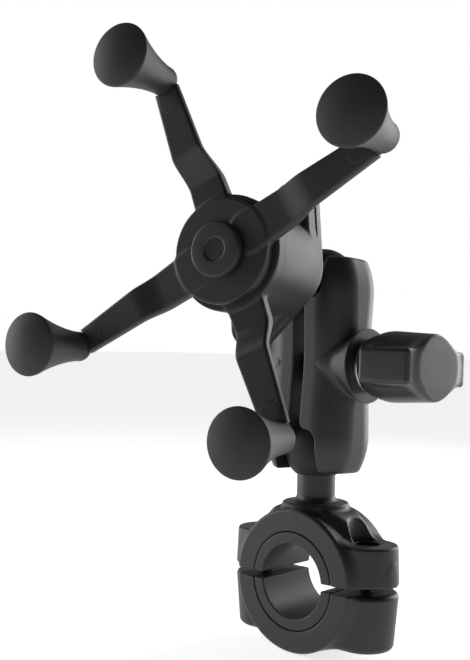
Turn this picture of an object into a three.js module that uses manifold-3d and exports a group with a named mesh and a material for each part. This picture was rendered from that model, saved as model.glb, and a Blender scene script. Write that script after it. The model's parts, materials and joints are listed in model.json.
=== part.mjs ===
// Phone mount for a handlebar: split clamp base, double socket arm and spring-loaded phone grip.
// Millimetres, +Z up. The origin is the centre of the handlebar bore, the bar runs along Y,
// the arm's knob points to +X and the phone faces roughly -Y.
import * as THREE from 'three';
import { mergeVertices } from 'three/addons/utils/BufferGeometryUtils.js';
import { ConvexGeometry } from 'three/addons/geometries/ConvexGeometry.js';
import Module from 'manifold-3d';

const wasm = await Module();
wasm.setup();

// ---- driving dimensions ----
const GAP = 0.3;                      // running gap between neighbouring pieces
const FAR = 60;                       // cutting tools reach this far, beyond every piece
const DEG = Math.PI / 180;

const BAR_R = 14.3;                   // 1 1/8 inch bar
const SLEEVE_R = 19.05;               // 1 1/2 inch seat of the sleeve
const RING_R = 27.6;
const BASE_HALF_WIDTH = 14.8;
const SPLIT_HALF = 1.3;               // half of the gap between the clamp halves
const SCREW_X = 25;                   // clamp screw axes at +X and -X
const LUG_R = 12.3;
const LUG_TOP = 16.2;
const LUG_BOTTOM = -23.2;
const LUG_DRAFT = 1.2;                // the lower lugs are this much smaller at the bottom
const PLATEAU_R = 13.2;
const PLATEAU_Z = 29.5;
const RAMP_TOP = { x: 6, z: 28, r: 9 };      // the shoulder slopes from here
const RAMP_FOOT = { x: 24, z: LUG_TOP - 0.5, r: 8 };

const BALL_R = 12.7;                  // 1 inch ball
const BALL_WALL = 1.2;                // rubber skin
const CORE_R = BALL_R - BALL_WALL - GAP;
const BALL_FLAT = 10.4;               // the skin ends flat this far from the centre, at the neck
const NECK_R = 7.55;
const LOWER_BALL_Z = 50.1;

const BALL_SPACING = 67;              // lower ball to upper ball
const ARM_LEAN = 2.2 * DEG;
const ARM_HALF_WIDTH = 15.6;
const ARM_OVERHANG = 8.35;            // the arm ends this far beyond each ball centre
const ARM_SPLIT_HALF = 2.5;
const ARM_SIDE_X = 19.7;
const SLOT_HALF = 10;                 // half width of the slot that the necks swing in
const SEAT_X = 23.2;                  // seat of the knob
const SEAT_R = 14.9;
const SEAT_RIM = 2;                   // height of the seat's straight rim
const SEAT_SKIRT_X = 11;              // where the seat's flanks meet the arm's sides
const SEAT_SKIRT_Y = ARM_HALF_WIDTH - 1.6;
const FAR_SEAT_X = 21.4;              // seat of the bolt's head
const FAR_SEAT_R = 11.5;
const ARM_MID = BALL_SPACING / 2;
const BOLT_R = 3.05;

const KNOB_END = 54.2;
const KNOB_R = 12.9;
const WING_HALF = 6.6;
const WING_REACH = 20;
const WING_START = 31.9;

const GRIP_PAN = 11.3 * DEG;          // the grip's axis is turned this far from -Y towards +X
const GRIP_TILT = 3.5 * DEG;          // and tilted this far up
const GRIP_ROLL = 18.2 * DEG;
const UPPER_NECK_R = 5.9;
const PLATE_BACK = 34.8;              // distances from the upper ball's centre along the grip's axis
const PLATE_FRONT = 39.3;
const FLANGE_FRONT = 45.8;
const HOUSING_FRONT = 69.3;
const HOUSING_R = 19.2;
const PLATE_SCREW_Y = 24.3;
const LAP_Z = 74.4;                   // plane where the two arms' pivot discs meet
const DISC_FRONT = 78.7;
const BLADE_BACK = 77.6;
const BLADE_FRONT = 80.9;
const REST_Z = 82;                    // front of the pivot's cap, which the phone lies on
const ARM_TIP_X = 44;
const ARM_TIP_Y = 49.2;
const CAP_BACK = 77.7;
const CAP_LENGTH = 27.6;
const CAP_R = 10.9;
const CAP_SPLAY_X = 0.9;              // degrees that each cap leans outwards
const CAP_SPLAY_Y = 2.8;
const STEM_R = 5.3;
const PEG_R = 3.2;
const PEG_LENGTH = 15;

// ---- materials ----
function finish(hex, roughness, metalness) {
  return new THREE.MeshStandardMaterial({ color: hex, roughness, metalness });
}
const coated = finish(0x3a3a3c, 0.55, 0.1);
const composite = finish(0x333335, 0.6, 0);
const knobPlastic = finish(0x3f3f41, 0.5, 0);
const rubber = finish(0x2c2c2d, 0.85, 0);
const steel = finish(0x8c8e92, 0.35, 1);
const blackSteel = finish(0x2e2e30, 0.45, 0.3);
const brass = finish(0xb08d4a, 0.4, 1);

// ---- solids: three.js geometry in, manifold booleans, three.js geometry out ----
function solid(geometry) {
  geometry.deleteAttribute('normal');
  geometry.deleteAttribute('uv');
  const merged = mergeVertices(geometry, 1e-4);
  const p = merged.attributes.position.array;
  const triangles = [];
  let volume = 0;
  for (let i = 0; i < merged.index.count; i += 3) {
    const [a, b, c] = [0, 1, 2].map((k) => merged.index.getX(i + k));
    if (a === b || b === c || c === a) continue;
    triangles.push([a, b, c]);
    const [ax, ay, az] = p.slice(3 * a, 3 * a + 3);
    const [bx, by, bz] = p.slice(3 * b, 3 * b + 3);
    const [cx, cy, cz] = p.slice(3 * c, 3 * c + 3);
    volume += ax * (by * cz - bz * cy) + ay * (bz * cx - bx * cz) + az * (bx * cy - by * cx);
  }
  const outward = volume > 0 ? triangles : triangles.map(([a, b, c]) => [a, c, b]);
  const mesh = { numProp: 3, vertProperties: p, triVerts: new Uint32Array(outward.flat()) };
  return new wasm.Manifold(new wasm.Mesh(mesh));
}

function piece(group, name, body, material) {
  const { vertProperties, triVerts } = body.getMesh();
  const geometry = new THREE.BufferGeometry();
  geometry.setAttribute('position', new THREE.BufferAttribute(new Float32Array(vertProperties), 3));
  geometry.setIndex(new THREE.BufferAttribute(new Uint32Array(triVerts), 1));
  geometry.computeVertexNormals();
  const mesh = new THREE.Mesh(geometry, material);
  mesh.name = name;
  group.add(mesh);
}

const X = new THREE.Vector3(1, 0, 0);
const Y = new THREE.Vector3(0, 1, 0);
const Z = new THREE.Vector3(0, 0, 1);
const ALONG_X = new THREE.Matrix4().makeBasis(Y, Z, X);
const ALONG_Y = new THREE.Matrix4().makeBasis(Z, X, Y);
const ALONG_Z = new THREE.Matrix4();

// A round rod along one of the axes, through (u, v) of the plane across it.
function rod(along, radius, from, to, [u, v] = [0, 0], sides = 24) {
  const geometry = new THREE.CylinderGeometry(radius, radius, to - from, sides);
  geometry.rotateX(Math.PI / 2);
  geometry.translate(u, v, (from + to) / 2);
  return solid(geometry.applyMatrix4(along));
}

function block([x0, x1], [y0, y1], [z0, z1]) {
  const geometry = new THREE.BoxGeometry(x1 - x0, y1 - y0, z1 - z0);
  geometry.translate((x0 + x1) / 2, (y0 + y1) / 2, (z0 + z1) / 2);
  return solid(geometry);
}

function ball(radius, [x, y, z] = [0, 0, 0]) {
  const geometry = new THREE.SphereGeometry(radius, 24, 14);
  geometry.rotateX(Math.PI / 2);
  geometry.translate(x, y, z);
  return solid(geometry);
}

// A turned piece: profile points are [radius, height] along the given axis.
function turned(along, profile, sides = 24) {
  const points = profile.map(([r, h]) => new THREE.Vector2(r, h));
  const geometry = new THREE.LatheGeometry(points, sides);
  geometry.rotateX(Math.PI / 2);
  return solid(geometry.applyMatrix4(along));
}

function prism(along, outline, from, to) {
  const settings = { depth: to - from, bevelEnabled: false, curveSegments: 5 };
  const geometry = new THREE.ExtrudeGeometry(outline, settings);
  geometry.translate(0, 0, from);
  return solid(geometry.applyMatrix4(along));
}

function polygon(points) {
  return new THREE.Shape(points.map(([u, v]) => new THREE.Vector2(u, v)));
}

function hexagon(acrossFlats) {
  const r = acrossFlats / Math.sqrt(3);
  return polygon([0, 1, 2, 3, 4, 5].map((k) => [r * Math.cos(k * 60 * DEG), r * Math.sin(k * 60 * DEG)]));
}

// Points of a circle in the plane across an axis, to be joined into a convex hull.
function ringPoints(along, radius, height, [u, v] = [0, 0], count = 20) {
  return Array.from({ length: count }, (_, k) => {
    const a = (2 * Math.PI * k) / count;
    return new THREE.Vector3(u + radius * Math.cos(a), v + radius * Math.sin(a), height).applyMatrix4(along);
  });
}

function hull(points) {
  return solid(new ConvexGeometry(points));
}

function join(...parts) {
  return parts.reduce((all, part) => all.add(part));
}

function cut(body, ...tools) {
  return tools.reduce((rest, tool) => rest.subtract(tool), body);
}

const SIDES = [['left', -1], ['right', 1]];

// ---- clamp base ----
const COUNTERBORE_FLOOR = 8.6;
const POST_FOOT = 10;
const WASHER_TOP = COUNTERBORE_FLOOR + 1.1;
const SCREW_END = -21.8;
const SCREW_R = 2.4;
const SCREW_HOLE_R = 2.75;
const HEAD_R = 4.2;
const COUNTERBORE_R = 4.6;
const HEAD_BOTTOM = COUNTERBORE_FLOOR + 1.4;
const HEAD_TOP = HEAD_BOTTOM + 5;
const SOCKET_FLOOR = HEAD_BOTTOM + 2.4;
const SOCKET_FLATS = 4;
const NUT_FLATS = 8;
const NUT_TOP = -17.3;
const NUT_BOTTOM = -21.3;

// Turned profile of a ball's core, from its far pole to the neck, which comes out along the axis.
function coreProfile(neckR) {
  const end = Math.PI - Math.asin(neckR / CORE_R);
  const steps = 7;
  return Array.from({ length: steps + 1 }, (_, k) => {
    const a = (end * k) / steps;
    return [CORE_R * Math.sin(a), -CORE_R * Math.cos(a)];
  });
}

function clampUpper() {
  const ring = rod(ALONG_Y, RING_R, -BASE_HALF_WIDTH, BASE_HALF_WIDTH, [0, 0], 48);
  const lugs = hull([-1, 1].flatMap((side) => [SPLIT_HALF, LUG_TOP].flatMap((z) =>
    ringPoints(ALONG_Z, LUG_R, z, [side * SCREW_X, 0]))));
  const ramps = [-1, 1].map((side) => hull([
    ...[POST_FOOT, RAMP_TOP.z].flatMap((z) => ringPoints(ALONG_Z, RAMP_TOP.r, z, [side * RAMP_TOP.x, 0])),
    ...[SPLIT_HALF, RAMP_FOOT.z].flatMap((z) => ringPoints(ALONG_Z, RAMP_FOOT.r, z, [side * RAMP_FOOT.x, 0])),
  ]));
  const coreArc = coreProfile(NECK_R).reverse().map(([r, h]) => [r, LOWER_BALL_Z - h]);
  const post = turned(ALONG_Z, [
    [0, POST_FOOT], [PLATEAU_R, POST_FOOT], [PLATEAU_R, PLATEAU_Z - 0.8], [PLATEAU_R - 1, PLATEAU_Z + 0.6],
    [9.2, PLATEAU_Z + 2.2], [NECK_R + 0.3, PLATEAU_Z + 3.8], [NECK_R, PLATEAU_Z + 6], ...coreArc,
  ]);
  const bore = rod(ALONG_Y, SLEEVE_R, -FAR, FAR, [0, 0], 48);
  const below = block([-FAR, FAR], [-FAR, FAR], [-FAR, SPLIT_HALF]);
  const holes = SIDES.flatMap(([, side]) => [
    rod(ALONG_Z, SCREW_HOLE_R, 0, FAR, [side * SCREW_X, 0], 20),
    rod(ALONG_Z, COUNTERBORE_R, COUNTERBORE_FLOOR, FAR, [side * SCREW_X, 0], 24),
  ]);
  return cut(join(ring, lugs, ...ramps, post), bore, below, ...holes);
}

function clampLower() {
  const ring = rod(ALONG_Y, RING_R, -BASE_HALF_WIDTH, BASE_HALF_WIDTH, [0, 0], 48);
  const lugs = hull([-1, 1].flatMap((side) => [
    ...ringPoints(ALONG_Z, LUG_R, -SPLIT_HALF, [side * SCREW_X, 0]),
    ...ringPoints(ALONG_Z, LUG_R - LUG_DRAFT, LUG_BOTTOM, [side * (SCREW_X - LUG_DRAFT), 0]),
  ]));
  const bore = rod(ALONG_Y, SLEEVE_R, -FAR, FAR, [0, 0], 48);
  const above = block([-FAR, FAR], [-FAR, FAR], [-SPLIT_HALF, FAR]);
  const holes = SIDES.flatMap(([, side]) => [
    rod(ALONG_Z, SCREW_HOLE_R, -FAR, 0, [side * SCREW_X, 0], 20),
    prism(ALONG_Z, hexagon(NUT_FLATS + 2 * GAP), -FAR, NUT_TOP + GAP).translate([side * SCREW_X, 0, 0]),
  ]);
  return cut(join(ring, lugs), bore, above, ...holes);
}

function sleeveHalf(top) {
  const tube = cut(
    rod(ALONG_Y, SLEEVE_R - GAP, -BASE_HALF_WIDTH, BASE_HALF_WIDTH, [0, 0], 48),
    rod(ALONG_Y, BAR_R, -FAR, FAR, [0, 0], 48),
  );
  const other = top ? [-FAR, SPLIT_HALF] : [-SPLIT_HALF, FAR];
  return cut(tube, block([-FAR, FAR], [-FAR, FAR], other));
}

function clampScrew(side) {
  const shank = rod(ALONG_Z, SCREW_R, SCREW_END, HEAD_BOTTOM, [side * SCREW_X, 0], 20);
  const head = rod(ALONG_Z, HEAD_R, HEAD_BOTTOM, HEAD_TOP, [side * SCREW_X, 0], 24);
  const socket = prism(ALONG_Z, hexagon(SOCKET_FLATS), SOCKET_FLOOR, FAR).translate([side * SCREW_X, 0, 0]);
  return cut(join(shank, head), socket);
}

function clampWasher(side) {
  const disc = rod(ALONG_Z, HEAD_R, COUNTERBORE_FLOOR + GAP, WASHER_TOP, [side * SCREW_X, 0], 24);
  return cut(disc, rod(ALONG_Z, SCREW_HOLE_R, 0, FAR, [side * SCREW_X, 0], 20));
}

function nut(flats, holeR, from, to) {
  return cut(prism(ALONG_Z, hexagon(flats), from, to), rod(ALONG_Z, holeR, from - 1, to + 1, [0, 0], 20));
}

function buildBase(group) {
  piece(group, 'clamp_upper', clampUpper(), coated);
  piece(group, 'clamp_lower', clampLower(), coated);
  piece(group, 'sleeve_upper', sleeveHalf(true), composite);
  piece(group, 'sleeve_lower', sleeveHalf(false), composite);
  for (const [name, side] of SIDES) {
    piece(group, `clamp_screw_${name}`, clampScrew(side), blackSteel);
    piece(group, `clamp_washer_${name}`, clampWasher(side), steel);
    const nutBody = nut(NUT_FLATS, SCREW_R + GAP, NUT_BOTTOM, NUT_TOP);
    piece(group, `clamp_nut_${name}`, nutBody.translate([side * SCREW_X, 0, 0]), steel);
  }
}

// ---- ball skins: hollow spheres, cut flat where the neck comes out along -Z or +Z ----
function ballSkin(neckR, side) {
  const shell = cut(ball(BALL_R), ball(BALL_R - BALL_WALL), rod(ALONG_Z, neckR + GAP, 0, side * FAR));
  const beyond = side > 0 ? [BALL_FLAT, FAR] : [-FAR, -BALL_FLAT];
  return cut(shell, block([-FAR, FAR], [-FAR, FAR], beyond));
}

// ---- arm, in its own frame: the ball centres are at z = 0 and z = BALL_SPACING ----
const ARM_CORNER = 12.5;
const ARM_TOP = BALL_SPACING + ARM_OVERHANG;
// Half thickness of either end of the arm, with the distance beyond the ball's centre.
const ARM_TAPER = [[15.4, ARM_OVERHANG], [17.2, 4.5], [18.4, 0], [19.3, -6], [ARM_SIDE_X, -15]];
const SLOT_FLOOR = [[SLOT_HALF, -5], [7, -7.6], [0, -9.4]];
const SPRING_POCKET_R = 8.4;
const SPRING_POCKET_END = 12;
const ARM_SPRING = { radius: 6, wireR: 0.9, end: 11.7, turns: 6 };
const BOLT_HOLE_R = BOLT_R + GAP;

// One half shell on the +X side. The other one is its mirror image.
function armShell() {
  const section = new THREE.Shape();
  section.moveTo(ARM_SPLIT_HALF, -ARM_HALF_WIDTH);
  section.lineTo(ARM_SIDE_X - ARM_CORNER, -ARM_HALF_WIDTH);
  section.absarc(ARM_SIDE_X - ARM_CORNER, -ARM_HALF_WIDTH + ARM_CORNER, ARM_CORNER, -Math.PI / 2, 0, false);
  section.absarc(ARM_SIDE_X - ARM_CORNER, ARM_HALF_WIDTH - ARM_CORNER, ARM_CORNER, 0, Math.PI / 2, false);
  section.lineTo(ARM_SPLIT_HALF, ARM_HALF_WIDTH);
  section.closePath();
  const bar = prism(ALONG_Z, section, -ARM_OVERHANG, ARM_TOP);
  const side = [[0, -ARM_OVERHANG], [0, ARM_TOP],
    ...ARM_TAPER.flatMap(([x, beyond]) => [[x, -beyond], [x, BALL_SPACING + beyond]])];
  return bar.intersect(hull(side.flatMap(([x, z]) => [-FAR, FAR].map((y) => new THREE.Vector3(x, y, z)))));
}

function armSlot(centre, out) {
  const points = [[0, FAR], [SLOT_HALF, FAR], ...SLOT_FLOOR];
  return hull(points.flatMap(([x, z]) => [-FAR, FAR].map((y) => new THREE.Vector3(x, y, centre + out * z))));
}

function armHalf(side, seatX, seatR) {
  const seat = hull([
    ...ringPoints(ALONG_X, seatR, seatX, [0, ARM_MID], 32),
    ...ringPoints(ALONG_X, seatR, seatX - SEAT_RIM, [0, ARM_MID], 32),
    ...[-1, 1].flatMap((y) => ringPoints(ALONG_X, 1.5, SEAT_SKIRT_X, [y * SEAT_SKIRT_Y, ARM_MID], 6)),
    new THREE.Vector3(ARM_SPLIT_HALF + 1.5, 0, ARM_MID),
  ]);
  const tools = [
    ball(BALL_R + GAP),
    ball(BALL_R + GAP, [0, 0, BALL_SPACING]),
    armSlot(0, -1),
    armSlot(BALL_SPACING, 1),
    rod(ALONG_X, BOLT_HOLE_R, -1, FAR, [0, ARM_MID], 24),
    rod(ALONG_X, SPRING_POCKET_R, -1, SPRING_POCKET_END, [0, ARM_MID], 24),
  ];
  const half = cut(join(armShell(), seat), ...tools);
  return side > 0 ? half : half.mirror([1, 0, 0]);
}

const BOLT_HEAD_FLATS = 11.1;
const BOLT_HEAD_X = -18;
const BOLT_HEAD_HEIGHT = 4.2;
const BOLT_END = 40;

function armFarHalf() {
  const pocket = prism(ALONG_X, hexagon(BOLT_HEAD_FLATS + 2 * GAP), -FAR, BOLT_HEAD_X + GAP);
  return cut(armHalf(-1, FAR_SEAT_X, FAR_SEAT_R), pocket.translate([0, 0, ARM_MID]));
}

function armBolt() {
  const head = prism(ALONG_X, hexagon(BOLT_HEAD_FLATS), BOLT_HEAD_X - BOLT_HEAD_HEIGHT, BOLT_HEAD_X);
  return join(head, rod(ALONG_X, BOLT_R, BOLT_HEAD_X, BOLT_END, [0, 0], 20)).translate([0, 0, ARM_MID]);
}

class Helix extends THREE.Curve {
  constructor(radius, length, turns) {
    super();
    Object.assign(this, { radius, length, turns });
  }

  getPoint(t, target = new THREE.Vector3()) {
    const a = 2 * Math.PI * this.turns * t;
    return target.set(this.radius * Math.cos(a), this.radius * Math.sin(a), this.length * t);
  }
}

function coil(along, { radius, wireR, turns }, from, to) {
  const section = polygon([0, 1, 2, 3, 4].map((k) =>
    [wireR * Math.cos(k * 72 * DEG), wireR * Math.sin(k * 72 * DEG)]));
  const path = new Helix(radius, to - from - 2 * wireR, turns);
  const settings = { steps: turns * 12, extrudePath: path, bevelEnabled: false };
  const geometry = new THREE.ExtrudeGeometry(section, settings);
  geometry.translate(0, 0, from + wireR);
  return solid(geometry.applyMatrix4(along));
}

// ---- wing knob, in the arm's frame ----
const KNOB_BACK = SEAT_X + 1.6;
const INSERT_R = 5;
const INSERT_END = 43;
const KNOB_WASHER_R = 9.5;
const KNOB_FOOT_R = 10.6;
const WING_TIP_HALF = WING_HALF - 1.5;
const FILLET_REACH = 16.5;

function knob() {
  const hub = turned(ALONG_X, [[0, KNOB_BACK], [KNOB_FOOT_R, KNOB_BACK], [KNOB_FOOT_R + 0.6, KNOB_BACK + 1],
    [KNOB_R + 0.7, WING_START + 2], [KNOB_R, KNOB_END - 2.5], [KNOB_R - 2.2, KNOB_END], [0, KNOB_END]]);
  const reach = WING_REACH - WING_HALF + WING_TIP_HALF;
  const outline = [[-reach, WING_HALF], [-WING_REACH, WING_TIP_HALF], [-WING_REACH, -WING_TIP_HALF],
    [-reach, -WING_HALF], [reach, -WING_HALF], [WING_REACH, -WING_TIP_HALF], [WING_REACH, WING_TIP_HALF],
    [reach, WING_HALF]];
  const wings = prism(ALONG_X, polygon(outline), WING_START, KNOB_END);
  const fillets = hull([WING_START + 2, KNOB_END - 0.8].flatMap((x) => [
    ...ringPoints(ALONG_X, KNOB_R - 1.2, x),
    ...[-FILLET_REACH, FILLET_REACH].flatMap((y) =>
      [-WING_HALF, WING_HALF].map((z) => new THREE.Vector3(x, y, z))),
  ]));
  const hole = rod(ALONG_X, INSERT_R + GAP, 0, INSERT_END + GAP, [0, 0], 24);
  return cut(join(hub, wings, fillets), hole).translate([0, 0, ARM_MID]);
}

function washer(along, outerR, innerR, from, to) {
  return cut(rod(along, outerR, from, to), rod(along, innerR, from - 1, to + 1, [0, 0], 20));
}

function knobInsert() {
  return washer(ALONG_X, INSERT_R, BOLT_HOLE_R, KNOB_BACK + GAP, INSERT_END).translate([0, 0, ARM_MID]);
}

function buildArm(group) {
  piece(group, 'arm_far_half', armFarHalf(), coated);
  piece(group, 'arm_near_half', armHalf(1, SEAT_X, SEAT_R), coated);
  piece(group, 'arm_bolt', armBolt(), steel);
  const spring = coil(ALONG_X, ARM_SPRING, -ARM_SPRING.end, ARM_SPRING.end);
  piece(group, 'arm_spring', spring.translate([0, 0, ARM_MID]), steel);
  const ring = washer(ALONG_X, KNOB_WASHER_R, BOLT_HOLE_R, SEAT_X + GAP, KNOB_BACK - GAP);
  piece(group, 'knob_washer', ring.translate([0, 0, ARM_MID]), steel);
  piece(group, 'knob', knob(), knobPlastic);
  piece(group, 'knob_insert', knobInsert(), brass);
}

// ---- phone grip, in its own frame: the upper ball's centre is the origin and z runs to the phone ----
const PIN_R = 4;
const PIN_HEAD_R = 6.4;
const PIVOT_HOLE_R = PIN_R + GAP;
const PIVOT_CAP_R = 9;
const NUT_SEAT = FLANGE_FRONT - 3.5;    // floor of the nut pockets and of the pivot's seat
const PIN_BACK = NUT_SEAT - 0.7;
const PLATE_SCREW_HEAD = { radius: 4.5, height: 3, flats: 3, floor: PLATE_BACK - 1.8 };
const PLATE_SCREW_END = FLANGE_FRONT + 0.4;
const PLATE = { halfLength: 31, endR: 7, middleR: 17 };   // the diamond of the plate and of the flange
const HOUSING_WALL = 2.2;
const SEAT_RING_R = 7;
const GRIP_END = 120;                   // beyond everything along the grip's axis
const GRIP_SPRING = { radius: 11, wireR: 1.4, turns: 5 };

function diamond({ halfLength, endR, middleR }, from, to) {
  return hull([from, to].flatMap((z) => [
    ...ringPoints(ALONG_Z, middleR, z, [0, 0], 32),
    ...[-1, 1].flatMap((side) => ringPoints(ALONG_Z, endR, z, [0, side * (halfLength - endR)], 16)),
  ]));
}

function ballPlate() {
  const post = turned(ALONG_Z, [...coreProfile(UPPER_NECK_R), [UPPER_NECK_R, PLATE_BACK - 4.5],
    [UPPER_NECK_R + 1, PLATE_BACK - 1.8], [UPPER_NECK_R + 3.5, PLATE_BACK],
    [UPPER_NECK_R + 3.5, PLATE_BACK + 1], [0, PLATE_BACK + 1]]);
  const plate = diamond(PLATE, PLATE_BACK, PLATE_FRONT);
  const holes = [-1, 1].map((side) => rod(ALONG_Z, SCREW_HOLE_R, 0, FAR, [0, side * PLATE_SCREW_Y], 20));
  return cut(join(post, plate), ...holes);
}

function plateScrew(side) {
  const { radius, height, flats, floor } = PLATE_SCREW_HEAD;
  const seat = PLATE_BACK - GAP;
  const head = rod(ALONG_Z, radius, seat - height, seat, [0, side * PLATE_SCREW_Y], 24);
  const shank = rod(ALONG_Z, SCREW_R, seat, PLATE_SCREW_END, [0, side * PLATE_SCREW_Y], 20);
  const socket = prism(ALONG_Z, hexagon(flats), 0, floor).translate([0, side * PLATE_SCREW_Y, 0]);
  return cut(join(head, shank), socket);
}

function gripHousing() {
  const flange = diamond(PLATE, PLATE_FRONT + GAP, FLANGE_FRONT);
  const barrel = rod(ALONG_Z, HOUSING_R, PLATE_FRONT + GAP, HOUSING_FRONT, [0, 0], 40);
  const cavity = rod(ALONG_Z, HOUSING_R - HOUSING_WALL, NUT_SEAT + 1, GRIP_END, [0, 0], 32);
  const holes = [-1, 1].flatMap((side) => [
    rod(ALONG_Z, SCREW_HOLE_R, 0, FAR, [0, side * PLATE_SCREW_Y], 20),
    prism(ALONG_Z, hexagon(NUT_FLATS + 2 * GAP), NUT_SEAT, FAR).translate([0, side * PLATE_SCREW_Y, 0]),
  ]);
  const seat = rod(ALONG_Z, SEAT_RING_R, NUT_SEAT, NUT_SEAT + 5, [0, 0], 24);
  const pinHole = rod(ALONG_Z, PIVOT_HOLE_R, PIN_BACK - GAP, GRIP_END, [0, 0], 20);
  return cut(join(cut(join(flange, barrel), cavity, ...holes), seat), pinHole);
}

function pivotPin() {
  const head = rod(ALONG_Z, PIN_HEAD_R, DISC_FRONT + GAP, DISC_FRONT + 1.5, [0, 0], 24);
  return join(rod(ALONG_Z, PIN_R, PIN_BACK, REST_Z - 0.4, [0, 0], 20), head);
}

// A flat bar outwards from the pivot, as wide as two circles joined: each is its distance out and radius.
function armBar(direction, [fromR, fromWidth], [toR, toWidth], near, far = near) {
  const at = (r) => [r * Math.cos(direction), r * Math.sin(direction)];
  return hull([
    ...near.flatMap((z) => ringPoints(ALONG_Z, fromWidth, z, at(fromR), 16)),
    ...far.flatMap((z) => ringPoints(ALONG_Z, toWidth, z, at(toR), 16)),
  ]);
}

const TIP_R = Math.hypot(ARM_TIP_X, ARM_TIP_Y);
const DISC_BACK_R = 20;
const DISC_FRONT_R = 18;
const CRANK_START = 26;               // the arms step forward between these distances from the pivot
const CRANK_END = 38;
const BLADE = [BLADE_BACK, BLADE_FRONT];
const TONGUE = 3.6;                   // half width of the tongue that enters the cap
const TONGUE_DROP = 0.5;
const LEG_ROOT_R = 12;
const LEG_HALF = [7.4, 7.2, 6.6, 4.7]; // half widths at the root, the crank's start and end, and the tip

// Leans a piece that stands on the origin outwards, then puts it on the tip in this direction.
function onTip(body, direction) {
  const [x, y] = [TIP_R * Math.cos(direction), TIP_R * Math.sin(direction)];
  const lean = [-CAP_SPLAY_Y * Math.sign(y), CAP_SPLAY_X * Math.sign(x), 0];
  return body.rotate(lean).translate([x, y, CAP_BACK]);
}

function tongue(direction, gap) {
  const half = TONGUE + gap;
  const layer = [BLADE_BACK - TONGUE_DROP - 5 * gap, BLADE_FRONT + gap];
  return armBar(direction, [TIP_R - 9, half], [TIP_R, half], layer);
}

function gripArm(mirror, back) {
  const angle = Math.atan2(ARM_TIP_Y, ARM_TIP_X * mirror);
  const layer = back ? [HOUSING_FRONT + 0.4, LAP_Z - GAP / 2] : [LAP_Z + GAP / 2, DISC_FRONT];
  const [rootHalf, startHalf, endHalf, tipHalf] = LEG_HALF;
  const disc = rod(ALONG_Z, back ? DISC_BACK_R : DISC_FRONT_R, ...layer, [0, 0], 36);
  const legs = [angle, angle + Math.PI].flatMap((direction) => {
    const root = armBar(direction, [LEG_ROOT_R, rootHalf], [CRANK_START, startHalf], layer);
    const crank = armBar(direction, [CRANK_START, startHalf], [CRANK_END, endHalf], layer, BLADE);
    const stem = onTip(rod(ALONG_Z, STEM_R + GAP, -5, 10), direction);
    const blade = armBar(direction, [CRANK_END, endHalf], [TIP_R - 3, tipHalf], BLADE).subtract(stem);
    const peg = onTip(rod(ALONG_Z, PEG_R, 1, PEG_LENGTH, [0, 0], 20), direction);
    return [root, crank, blade, tongue(direction, 0), peg];
  });
  return cut(join(disc, ...legs), rod(ALONG_Z, PIVOT_HOLE_R, 0, GRIP_END, [0, 0], 20));
}

const FLARE_START = 2.5;
const FLARE_POWER = 1.65;

function rubberCap(direction) {
  const flare = Array.from({ length: 6 }, (_, k) => {
    const t = k / 5;
    return [STEM_R + (CAP_R - STEM_R - 0.2) * t ** FLARE_POWER, FLARE_START + (CAP_LENGTH - 4) * t];
  });
  const body = turned(ALONG_Z, [[0, 0], [STEM_R - 1.6, 0], [STEM_R - 0.4, 0.8], ...flare,
    [CAP_R, CAP_LENGTH - 0.7], [CAP_R - 0.3, CAP_LENGTH], [8.5, CAP_LENGTH + 0.95], [4.5, CAP_LENGTH + 1.75],
    [0, CAP_LENGTH + 2.1]]);
  const hole = rod(ALONG_Z, PEG_R + GAP, -1, PEG_LENGTH + 1, [0, 0], 20);
  return cut(onTip(cut(body, hole), direction), tongue(direction, GAP));
}

function buildGrip(group) {
  piece(group, 'ball_plate', ballPlate(), coated);
  for (const [name, side] of [['lower', -1], ['upper', 1]]) {
    piece(group, `plate_screw_${name}`, plateScrew(side), blackSteel);
    const nutBody = nut(NUT_FLATS, SCREW_R + GAP, NUT_SEAT + GAP, PLATE_SCREW_END);
    piece(group, `plate_nut_${name}`, nutBody.translate([0, side * PLATE_SCREW_Y, 0]), steel);
  }
  piece(group, 'grip_housing', gripHousing(), composite);
  piece(group, 'grip_spring', coil(ALONG_Z, GRIP_SPRING, FLANGE_FRONT + 2, HOUSING_FRONT - 0.5), steel);
  piece(group, 'pivot_pin', pivotPin(), blackSteel);
  piece(group, 'pivot_cap', washer(ALONG_Z, PIVOT_CAP_R, PIVOT_HOLE_R, REST_Z - 1.5, REST_Z), composite);
  piece(group, 'grip_arm_a', gripArm(-1, true), composite);
  piece(group, 'grip_arm_b', gripArm(1, false), composite);
  for (const [row, y] of [['upper', ARM_TIP_Y], ['lower', -ARM_TIP_Y]]) {
    for (const [column, x] of [['left', -ARM_TIP_X], ['right', ARM_TIP_X]]) {
      piece(group, `cap_${row}_${column}`, rubberCap(Math.atan2(y, x)), rubber);
    }
  }
}

// ---- assembly ----
const mount = new THREE.Group();
buildBase(mount);

const arm = new THREE.Group();
arm.position.z = LOWER_BALL_Z;
arm.rotation.x = -ARM_LEAN;
buildArm(arm);
mount.add(arm);

const lowerSkin = new THREE.Group();
lowerSkin.position.z = LOWER_BALL_Z;
piece(lowerSkin, 'lower_ball_cover', ballSkin(NECK_R, -1), rubber);
mount.add(lowerSkin);

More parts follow.
